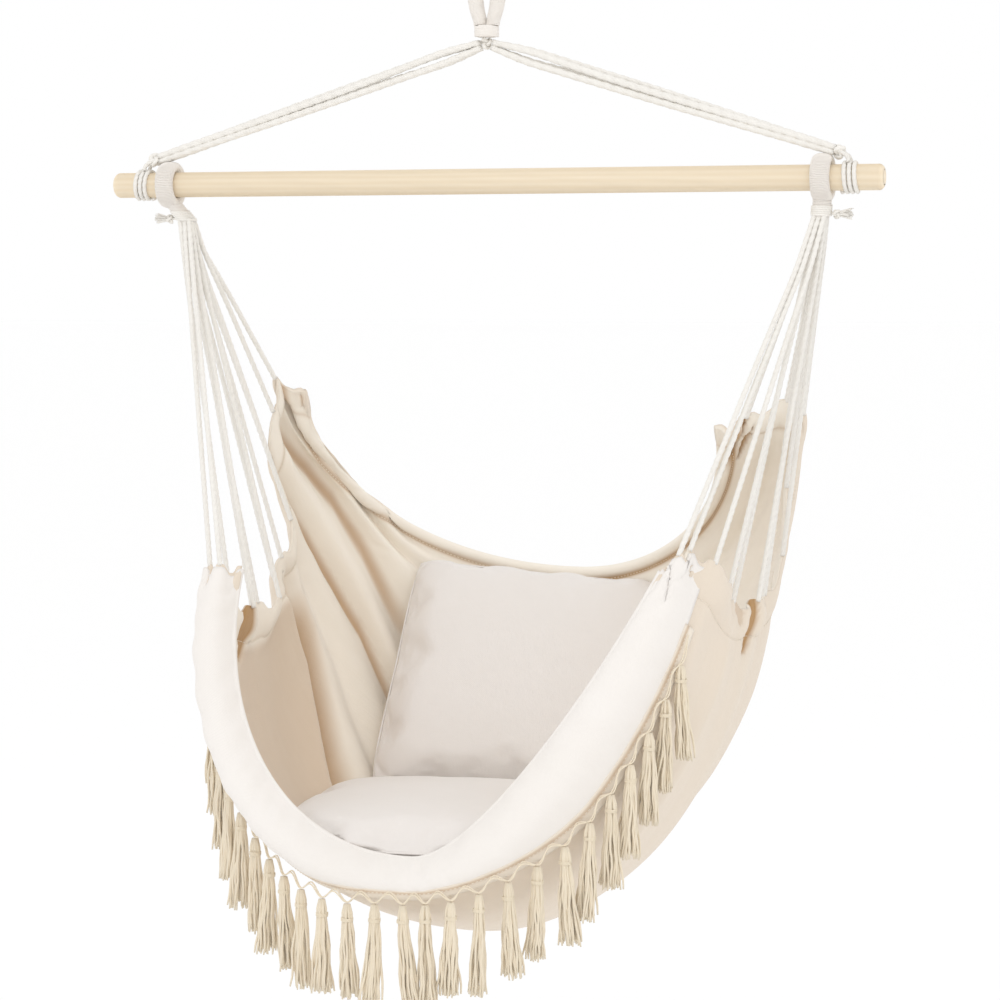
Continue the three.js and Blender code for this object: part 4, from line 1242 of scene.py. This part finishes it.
def cloth_painted_shade(u, v, face):
    """The share of painted shade at each point, seen from one face of the cloth: in folds, slots, the
    seam and the back hem's crease, on the left wall's inside, and over the outer face.
    """
    reach = np.abs(u)
    left, inside = u < 0, face < 0
    walled = left * inside
    height = relief(u, v) * face * -1000
    folds = smoothstep(height, *FOLD_DEPTHS) * smoothstep(reach, *FOLD_START)
    folds = folds * np.where(left, *FOLD_DARKNESS)
    folds = folds * (1 - FOLD_END_LOSS * smoothstep(reach, *FOLD_END))
    edge = np.interp(reach, FOLD_REACHES, LEFT_FOLDS[2][2])
    valley = np.interp(reach, FOLD_REACHES, LEFT_FOLDS[3][2])
    panel = PANEL_DARKNESS * walled * (1 - smoothstep(v - edge, *PANEL_EDGE))
    panel = panel * smoothstep(v, *PANEL_FRONT)
    panel = panel * smoothstep(reach, *PANEL_START) * (1 - smoothstep(reach, *PANEL_END))
    width = np.where(v < valley, *VALLEY_WIDTHS)
    beside = VALLEY_DARKNESS * walled * np.exp(-((v - valley) / width) ** 2)
    beside = beside * smoothstep(reach, *FOLD_START) * (1 - smoothstep(reach, *VALLEY_END))
    wall_shade = WALL_SHADE_DARKNESS * walled * smoothstep(reach, *WALL_SHADE_START) * (1 - smoothstep(v, *WALL_SHADE_END))
    from_crease = (v - BACK_HEM_SHARE + CREASE_PLACE) / CREASE_WIDTH
    crease = np.where(u > CREASE_DARKER_FROM, *CREASE_DARKNESS) * inside
    crease = crease * np.exp(-from_crease ** 2)
    seam = SEAM_DARKNESS * np.exp(-((reach - SEAM_REACH) / SEAM_WIDTH) ** 2)
    slots = SLOT_DARKNESS * slot_mask(u, v, face)
    shaded = OUTSIDE_DARKNESS * (not inside) + 0 * u
    return np.maximum.reduce((folds, panel, beside, wall_shade, crease, seam, slots, shaded))


# How much closer the cells of the cloth lie towards the side hems
HEM_CROWDING = 1.35


class HAMMOCK_OT_sling(bpy.types.Operator):
    """Hangs the sling's cloth with the casings of its hems"""
    bl_idname = "hammock.sling"
    bl_label = "Sling Cloth"

    def execute(self, context):
        sizes = context.scene.hammock_cloth
        ease = np.linspace(-1, 1, sizes.across + 1)
        us = np.sign(ease) * (1 - (1 - np.abs(ease)) ** HEM_CROWDING)
        vs = np.linspace(0, 1, sizes.back + 1)
        skin = Skin()
        sheet_skin(skin, sling, us, vs, lambda u, v: cloth_thickness(u, v, sizes), cloth_painted_shade)
        cloth = skin.finish("sling_canvas", "canvas", "sling", "canvas", "sling_cloth")
        return {"FINISHED"}


# The front band: its lift off the canvas, how round it is padded, and its wrinkles as height,
# waves across, waves back and waves of their own bend
BAND_REACH = 0.992
BAND_LIFT = 0.0022
BAND_SWELL_SHARE = 0.6
BAND_EDGE = 0.0012
BAND_ENDS = (0.02, 0.98)
BAND_ROUNDNESS = 0.7
BAND_WRINKLES = ((0.0011, 52, 3, 9), (0.0008, 95, -5, 13))
BINDING_RADIUS = 0.0042

# The tape under the band: its edges from the fringe's line, and its shadow under the tassels
TAPE_REACH = 0.87
TAPE_EDGES = (-0.006, 0.017)
TAPE_LIFT = 0.0034
TAPE_THICKNESS = 0.0016
TAPE_DARKNESS = (0.15, 0.55)
TAPE_SHADOW = (0.33, 0.12)


class HAMMOCK_OT_band(bpy.types.Operator):
    """Sews the padded band to the front rim, and the tape that carries the fringe"""
    bl_idname = "hammock.band"
    bl_label = "Front Band"

    def execute(self, context):
        sizes = context.scene.hammock_cloth

        def roundness(v):
            return np.sin(math.pi * np.clip(v, *BAND_ENDS)) ** BAND_ROUNDNESS

        def band(u, v):
            place = np.clip(v, 0, 1) * fringe_line(u)
            wrinkle = 0
            for height, across, back, bend in BAND_WRINKLES:
                wrinkle = wrinkle + height * np.sin(across * u + back * v + 2 * np.sin(bend * u))
            swell = BAND_LIFT + (sizes.band * BAND_SWELL_SHARE + wrinkle) * roundness(v)
            return sling(u, place) + normal_of(smooth_sling, u, place) * swell[..., None]

        def plump(u, v):
            return BAND_EDGE + sizes.band * roundness(v)

        us = np.linspace(-BAND_REACH, BAND_REACH, 261)
        skin = Skin()
        sheet_skin(skin, band, us, np.linspace(0, 1, 31), plump)
        piece = skin.finish("front_band", "band", "sling", "canvas")

        def tape(u, v):
            place = fringe_line(u) + lerp(*TAPE_EDGES, v)
            return sling(u, place) + normal_of(smooth_sling, u, place) * TAPE_LIFT

        def thin(u, v):
            return TAPE_THICKNESS + 0 * u

        def under_band(u, v, face):
            place, width = TAPE_SHADOW
            return TAPE_DARKNESS[0] + TAPE_DARKNESS[1] * np.exp(-((v - place) / width) ** 2) + 0 * u

        skin = Skin()
        tape_us = np.linspace(-TAPE_REACH, TAPE_REACH, 221)
        sheet_skin(skin, tape, tape_us, np.linspace(0, 1, 9), thin, under_band)
        skin.finish("fringe_tape", "canvas", "sling", "canvas")
        skin = Skin()
        skin.tube(sling(us, 0 * us), BINDING_RADIUS, sides=12)
        skin.finish("rim_binding", "band", "sling", "canvas")
        return {"FINISHED"}


# Where the rows of stitches run, and how far they lie over the middle of the cloth
HEM_STITCH_SPAN = (0.01, 0.99)
HEM_STITCH_REACH = 0.925
BACK_STITCH_REACH = 0.92
BACK_STITCH_PLACE = 0.004
BAND_STITCH_REACH = 0.86
BAND_STITCH_PLACE = 0.003
HEM_STITCH_LIFT = 0.0013
BAND_STITCH_LIFT = 0.0043
STITCH_STEPS = 500


class HAMMOCK_OT_stitching(bpy.types.Operator):
    """Stitches the casings, the back hem and the band"""
    bl_idname = "hammock.stitching"
    bl_label = "Stitching"

    def execute(self, context):
        skin = Skin()
        v = np.linspace(*HEM_STITCH_SPAN, STITCH_STEPS)
        for sign in (-1, 1):
            self.both_faces(skin, 0 * v + sign * HEM_STITCH_REACH, v)
        u = np.linspace(-BACK_STITCH_REACH, BACK_STITCH_REACH, STITCH_STEPS)
        self.both_faces(skin, u, 0 * u + BACK_HEM_SHARE - BACK_STITCH_PLACE)
        u = np.linspace(-BAND_STITCH_REACH, BAND_STITCH_REACH, STITCH_STEPS)
        edge = fringe_line(u) + BAND_STITCH_PLACE
        stitches(skin, sling(u, edge), normal_of(smooth_sling, u, edge), BAND_STITCH_LIFT)
        skin.finish("hem_stitching", "stitch", "sling", "canvas")
        return {"FINISHED"}

    def both_faces(self, skin, u, v):
        """A row of stitches on the outside of the cloth and one on its inside."""
        normals = normal_of(sling, u, v)
        for face in (1, -1):
            stitches(skin, sling(u, v), normals * face, HEM_STITCH_LIFT)


# The scalloped cord of the fringe and the heads that hang in its bends
FRINGE_SEED = 11
FRINGE_LIFT = 0.0095
HEAD_DROP = 0.014
SCALLOP_LANE = 0.0011
SCALLOP_DIP = 0.002
SCALLOP_STEP = 0.003
SCALLOP_RADIUS = 0.0009

# A tassel: its outline from head to end, as shares of its length and radii in metres, and how
# much its yarns vary
TASSEL_PLACES = (0, 0.05, 0.1, 0.16, 0.45, 1)
TASSEL_RADII = (0.003, 0.0052, 0.0058, 0.0052, 0.0084, 0.0118)
TASSEL_DEPTH_SHARE = 0.8
TASSEL_SWING = 0.03
TASSEL_LENGTHS = (0.96, 0.08)
YARN_LENGTHS = (0.9, 0.1, 0.6)
YARN_DRIFT = 0.0026
YARN_WAVES = (9, 15)
YARN_WAVE = 0.0011
YARN_WAVE_START = (0.12, 0.4)
YARN_SLIMMING = ((0, 0.85, 1), (1, 1, 0.7))

# The turns of yarn under a tassel's head
BINDING_TURNS = 3
BINDING_RADII = (0.0068, 0.0058)
BINDING_DROP = 0.0158
BINDING_PITCH = 0.0013
BINDING_YARN_RADIUS = 0.0008


class HAMMOCK_OT_fringe(bpy.types.Operator):
    """Hangs the scalloped cord and its tassels along the front band"""
    bl_idname = "hammock.fringe"
    bl_label = "Fringe"

    def execute(self, context):
        sizes = context.scene.hammock_fringe
        rng = np.random.default_rng(FRINGE_SEED)
        count = sizes.tassels
        middles = [(tassel + 0.5) / count for tassel in range(count)]
        heads = [self.hang_point(share) - (0, 0, HEAD_DROP) for share in middles]
        skin = Skin()
        for drift in (-SCALLOP_LANE, SCALLOP_LANE):
            line = []
            for tassel, head in enumerate(heads):
                line.append(self.hang_point(tassel / count) + (0, drift, drift))
                line.append(head + (drift, 0, SCALLOP_DIP))
            line.append(self.hang_point(1.0) + (0, drift, drift))
            skin.tube(resampled(line, SCALLOP_STEP), SCALLOP_RADIUS, sides=6)
        for head in heads:
            self.tassel(skin, head, sizes, rng)
            self.binding(skin, head)
        skin.finish("tassel_fringe", "fringe", "sling", "fringe_cotton", "fringe")
        return {"FINISHED"}

    def hang_point(self, share):
        """A point of the line that the fringe is sewn on by."""
        u = lerp(-FRINGE_SPAN_SHARE, FRINGE_SPAN_SHARE, share)
        v = fringe_line(u)
        return sling(u, v) + normal_of(smooth_sling, u, v) * FRINGE_LIFT

    def tassel(self, skin, head, sizes, rng):
        """The loose yarns of one tassel, each with a drift and waves of its own."""
        share = np.linspace(0, 1, 11)
        swing = rng.normal(0, TASSEL_SWING, 2)
        length_share = TASSEL_LENGTHS[0] + TASSEL_LENGTHS[1] * rng.random()
        least, more, evenness = YARN_LENGTHS
        for _ in range(sizes.strands):
            angle = 2 * math.pi * rng.random()
            radius = math.sqrt(rng.random())
            drop = sizes.drop * length_share * (least + more * rng.random() ** evenness)
            drift = rng.normal(0, YARN_DRIFT, 2)
            reach = np.interp(share, TASSEL_PLACES, TASSEL_RADII) * radius
            phase = 2 * math.pi * rng.random(2)
            waves = rng.uniform(*YARN_WAVES, 2)
            wave = YARN_WAVE * np.sin(waves[:, None] * share[None, :] + phase[:, None])
            wave = wave * smoothstep(share, *YARN_WAVE_START)
            across = reach * math.cos(angle) + drift[0] * share ** 2 + wave[0]
            back = reach * math.sin(angle) * TASSEL_DEPTH_SHARE + drift[1] * share ** 2 + wave[1]
            bend = share ** 1.5
            points = np.stack((
                across + swing[0] * drop * bend,
                back + swing[1] * drop * bend,
                -drop * share,
            ), axis=1)
            radii = np.interp(share, *YARN_SLIMMING) * sizes.yarn / 2
            skin.tube(head + points, radii, sides=5)

    def binding(self, skin, head):
        """The turns of yarn under the head of a tassel."""
        turns = np.linspace(0, 2 * math.pi * BINDING_TURNS, 40)
        across, back = BINDING_RADII[0] * np.cos(turns), BINDING_RADII[1] * np.sin(turns)
        up = -BINDING_DROP - BINDING_PITCH * turns / (2 * math.pi)
        skin.tube(np.stack((across, back, up), axis=1) + head, BINDING_YARN_RADIUS, sides=5)


# Gaps from a cushion to what it rests on and to the rim that it lifts out past, how far and
# which way the seat cushion lifts out, and the steps that its edge is drawn in by
CUSHION_GAP = 0.0025
RIM_GAP = 0.004
SEAT_LIFT = 0.062
SEAT_LIFT_WAY = (0, -0.196, 0.981)
CLEARING_STEP = 0.002
CLEARING_STEPS = 14

# Half of a cover's side when it lies flat
COVER_HALF = 0.2


class Pillow:
    """A crowned pillow in the shape that the CAD gives it: a grid a face, joined along a seam."""

    def __init__(
        self, crown, front_share, turns, middle, half, pull, corner=0.05, fullness=0.36, cells=46,
    ):
        self.cells = cells
        self.middle = np.array(middle) * (HEM_REACH, SEAT_REACH, BOWL_DROP) - (0, 0, BAR_DROP)
        lean, twist, roll = turns
        grid = np.sin(math.pi / 2 * np.linspace(-1, 1, cells + 1))
        s, t = np.meshgrid(grid, grid)
        rounding = 1 - corner * (s * t) ** 4
        x = s * (half - pull * (1 - t * t)) * rounding
        y = t * (half - pull * (1 - s * s)) * rounding
        swell = np.maximum(0, (1 - s * s) * (1 - t * t)) ** fullness
        self.rim = self.rim_cells()
        self.low_start = len(s.ravel())
        top = np.stack((x, y, crown * front_share * swell), axis=-1).reshape(-1, 3)
        low = np.stack((x, y, -crown * (1 - front_share) * swell), axis=-1).reshape(-1, 3)
        turn = (
            Matrix.Rotation(math.radians(twist), 3, "Z")
            @ Matrix.Rotation(math.radians(lean), 3, "X")
            @ Matrix.Rotation(math.radians(roll), 3, "Z")
        )
        self.points = np.vstack((top, low)) @ np.array(turn).T + self.middle

    def rim_cells(self):
        """Indices of the grid's rim, in order."""
        n, row = self.cells, self.cells + 1
        return (
            [k for k in range(n)] + [k * row + n for k in range(n)]
            + [n * row + k for k in range(n, 0, -1)] + [k * row for k in range(n, 0, -1)]
        )

    def squeeze(self, trees, gap, reach_out=0.0):
        """Draws points in to a gap from what the pillow rests on, or fills the underside out to it."""
        origin = Vector(self.middle)
        for index, point in enumerate(self.points):
            away = Vector(point) - origin
            reach = away.length
            if reach < 1e-6:
                continue
            direction = away / reach
            for tree in trees:
                hit = tree.ray_cast(origin, direction, reach + gap + reach_out)[0]
                if hit is not None and index >= self.low_start:
                    reach = (hit - origin).length - gap
                elif hit is not None:
                    reach = min(reach, (hit - origin).length - gap)
            self.points[index] = self.middle + np.array(direction) * reach

    def clear_the_rim(self, trees, gap):
        """Draws points in, level, a step at a time while something of the rim is over them."""
        way = Vector(SEAT_LIFT_WAY).normalized()
        for _ in range(CLEARING_STEPS):
            for index, point in enumerate(self.points):
                inward = (self.middle - point) * (1, 1, 0)
                inward = inward / max(np.linalg.norm(inward), 1e-9)
                probe = Vector(point - inward * gap)
                if any(tree.ray_cast(probe, way, SEAT_LIFT)[0] is not None for tree in trees):
                    self.points[index] = point + inward * CLEARING_STEP

    def settle(self, rests, rims):
        """Draws the pillow in from what it rests on, and from a rim that it lifts out past."""
        self.squeeze(rests, CUSHION_GAP)
        if rims:
            self.clear_the_rim(rims, RIM_GAP)

    def piece(self, name):
        """The pillow as one closed mesh, with its cover's UV and its seam as a vertex group."""
        row = self.cells + 1
        layer = row * row
        rim = set(self.rim)
        twin = {index + layer: index for index in rim}
        faces = []
        for r in range(self.cells):
            for c in range(self.cells):
                a = r * row + c
                faces.append((a, a + 1, a + row + 1, a + row))
                lower = [a + layer, a + row + layer, a + row + 1 + layer, a + 1 + layer]
                faces.append(tuple(twin.get(index, index) for index in lower))
        kept = [index for index in range(2 * layer) if index not in twin]
        order = {index: place for place, index in enumerate(kept)}
        mesh = bpy.data.meshes.new(name)
        renumbered = [tuple(order[index] for index in face) for face in faces]
        mesh.from_pydata(self.points[kept].tolist(), [], renumbered)
        grid = np.linspace(-COVER_HALF, COVER_HALF, row)
        flat = np.stack(np.meshgrid(grid, grid), axis=-1).reshape(-1, 2)
        flat = np.vstack((flat, flat))[kept]
        layer_uv = mesh.uv_layers.new(name="thread")
        corners = np.zeros(len(mesh.loops), np.int32)
        mesh.loops.foreach_get("vertex_index", corners)
        layer_uv.data.foreach_set("uv", flat[corners].astype(np.float32).ravel())
        pillow = bpy.data.objects.new(name, mesh)
        bpy.context.collection.objects.link(pillow)
        seam = pillow.vertex_groups.new(name="seam")
        seam.add([order[index] for index in self.rim], 1.0, "REPLACE")
        self.kept = kept
        return pillow


# The cover's cloth while it fills. It is cut larger than its seam, which the negative shrinking
# gives, so it wrinkles. No point moves farther than the cap.
FILLING = {
    "quality": 6,
    "mass": 0.3,
    "tension_stiffness": 20,
    "compression_stiffness": 20,
    "shear_stiffness": 8,
    "bending_stiffness": 0.25,
    "use_pressure": True,
    "uniform_pressure_force": 4.0,
    "shrink_min": -0.035,
    "shrink_max": -0.035,
    "vertex_group_mass": "seam",
}
FILLING_FRAMES = 20
FILLING_CAP = 0.010


def fill_pillow(pillow):
    """Fills a pillow by Blender's cloth, and gives its points when they have settled."""
    mesh = pillow.data
    rest = np.zeros(len(mesh.vertices) * 3)
    mesh.vertices.foreach_get("co", rest)
    cloth = pillow.modifiers.new("filling", "CLOTH")
    for name, value in FILLING.items():
        setattr(cloth.settings, name, value)
    cloth.settings.effector_weights.gravity = 0
    scene = bpy.context.scene
    for step in range(1, FILLING_FRAMES + 1):
        scene.frame_set(step)
    apply_modifiers(pillow)
    scene.frame_set(1)
    moved = np.zeros(len(mesh.vertices) * 3)
    pillow.data.vertices.foreach_get("co", moved)
    rest, moved = rest.reshape(-1, 3), moved.reshape(-1, 3)
    shift = moved - rest
    reach = np.linalg.norm(shift, axis=1, keepdims=True)
    return rest + shift * np.minimum(1, FILLING_CAP / np.maximum(reach, 1e-9))


def tree_of(piece):
    """A tree of a piece's faces, to cast rays at."""
    mesh = piece.data
    points = [tuple(vertex.co) for vertex in mesh.vertices]
    return BVHTree.FromPolygons(points, [tuple(face.vertices) for face in mesh.polygons])


# Each cushion's node, its piece, its body, how far it fills out to the sling, and its shape
CUSHIONS = (
    ("seat_cushion", "seat_pillow", "seat_pad", 0.02, {
        "crown": 0.140,
        "front_share": 0.235,
        "turns": (1, 3, 0),
        "middle": (-0.032, -0.331, -0.853),
        "half": 0.202,
        "pull": 0.010,
    }),
    ("back_cushion", "back_pillow", "back_pad", 0.0, {
        "crown": 0.128,
        "front_share": 0.4,
        "turns": (46, 14, -7),
        "middle": (0.010, 0.445, -0.708),
        "half": 0.191,
        "pull": 0.005,
    }),
)
CUSHION_SEAM_RADIUS = 0.0013


class HAMMOCK_OT_cushions(bpy.types.Operator):
    """Fills the seat and back cushions and sews their covers"""
    bl_idname = "hammock.cushions"
    bl_label = "Cushions"

    def execute(self, context):
        rests = [tree_of(bpy.data.objects["sling_canvas"])]
        rims = [rests[0], tree_of(bpy.data.objects["rim_binding"])]
        for node, name, body, reach_out, sizes in CUSHIONS:
            past = rims if body == "seat_pad" else []
            shape = Pillow(**sizes)
            shape.squeeze(rests[:1], CUSHION_GAP, reach_out)
            shape.settle(rests, past)
            pillow = shape.piece(name)
            shape.points[shape.kept] = fill_pillow(pillow)
            layer = (shape.cells + 1) ** 2
            for index in shape.rim:
                shape.points[index + layer] = shape.points[index]
            shape.settle(rests, past)
            pillow.data.vertices.foreach_set("co", shape.points[shape.kept].ravel())
            pillow.data.update()
            rim = shape.points[shape.rim]
            smooth = pillow.modifiers.new("rounding", "SUBSURF")
            smooth.levels = smooth.render_levels = 2
            apply_modifiers(pillow)
            pillow.data.polygons.foreach_set("use_smooth", [True] * len(pillow.data.polygons))
            finish_piece(pillow, "cover", body, "cushion_cover", node)
            skin = Skin()
            skin.tube(rim, CUSHION_SEAM_RADIUS, closed=True, sides=8)
            skin.finish(f"{node.split('_')[0]}_seam", "cover", body, "cushion_cover")
            rests.append(tree_of(pillow))
        return {"FINISHED"}


# The stage: the floor's height, and the lamp's place, aim, side and power
FLOOR_SIZE = 400
FLOOR_HEIGHT = -1.75
LAMP_PLACE = (0.7, -3.0, 1.3)
LAMP_AIM = (0, 0, -0.8)
LAMP_SIZE = 2.2
LAMP_POWER = 17


class HAMMOCK_OT_stage(bpy.types.Operator):
    """Sets a plain pale floor under the chair, and a soft studio light round it"""
    bl_idname = "hammock.stage"
    bl_label = "Stage"

    def execute(self, context):
        bpy.ops.object.select_all(action="DESELECT")
        bpy.ops.mesh.primitive_plane_add(size=FLOOR_SIZE, location=(0, 0, FLOOR_HEIGHT))
        floor = context.object
        floor.name = "studio_floor"
        material, wire, shader = new_material("pale_floor")
        place = own_place(wire)
        tone = noise_of(wire, place, 3.0) * 0.004 + 0.996
        grey = tone.node("ShaderNodeCombineColor", None, {0: tone, 1: tone, 2: tone})
        feed(grey, shader["Base Color"])
        shader["Roughness"].default_value = 0.9
        shader["Specular IOR Level"].default_value = 0.1
        floor.data.materials.append(material)
        world = bpy.data.worlds.new("soft_studio")
        world.use_nodes = True
        background = world.node_tree.nodes["Background"].inputs
        background["Color"].default_value = (1, 1, 1, 1)
        background["Strength"].default_value = 1.0
        context.scene.world = world
        data = bpy.data.lights.new("key_light", "AREA")
        data.shape = "SQUARE"
        data.size = LAMP_SIZE
        data.energy = LAMP_POWER
        lamp = bpy.data.objects.new("key_light", data)
        context.collection.objects.link(lamp)
        lamp.location = LAMP_PLACE
        aim = Vector(LAMP_AIM) - lamp.location
        lamp.rotation_euler = aim.to_track_quat("-Z", "Y").to_euler()
        context.scene.view_settings.view_transform = "Standard"
        return {"FINISHED"}


class HAMMOCK_PT_panel(bpy.types.Panel):
    bl_label = "Hammock Chair"
    bl_idname = "HAMMOCK_PT_panel"
    bl_space_type = "VIEW_3D"
    bl_region_type = "UI"
    bl_category = "Hammock Chair"

    def draw(self, context):
        for operator in OPERATORS:
            self.layout.operator(operator.bl_idname)
        for name in SETTINGS:
            group = getattr(context.scene, name)
            for prop in group.bl_rna.properties:
                if prop.identifier not in ("rna_type", "name"):
                    self.layout.prop(group, prop.identifier)


OPERATORS = (
    HAMMOCK_OT_camera, HAMMOCK_OT_fan_cords, HAMMOCK_OT_strands, HAMMOCK_OT_hanger, HAMMOCK_OT_bar,
    HAMMOCK_OT_hitches, HAMMOCK_OT_collars, HAMMOCK_OT_sling, HAMMOCK_OT_band, HAMMOCK_OT_stitching,
    HAMMOCK_OT_fringe, HAMMOCK_OT_cushions, HAMMOCK_OT_stage,
)
SETTINGS = {
    "hammock_cords": CordSizes,
    "hammock_cloth": ClothSizes,
    "hammock_fringe": FringeSizes,
    "hammock_colors": FinishColors,
}


def register():
    for settings in SETTINGS.values():
        bpy.utils.register_class(settings)
    for name, settings in SETTINGS.items():
        setattr(bpy.types.Scene, name, PointerProperty(type=settings))
    for operator in OPERATORS:
        bpy.utils.register_class(operator)
    bpy.utils.register_class(HAMMOCK_PT_panel)


def unregister():
    bpy.utils.unregister_class(HAMMOCK_PT_panel)
    for operator in reversed(OPERATORS):
        bpy.utils.unregister_class(operator)
    for name in SETTINGS:
        delattr(bpy.types.Scene, name)
    for settings in reversed(list(SETTINGS.values())):
        bpy.utils.unregister_class(settings)


def main():
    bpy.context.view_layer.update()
    register()
    for operator in OPERATORS:
        group, name = operator.bl_idname.split(".")
        getattr(getattr(bpy.ops, group), name)()


if __name__ == "__main__":
    main()
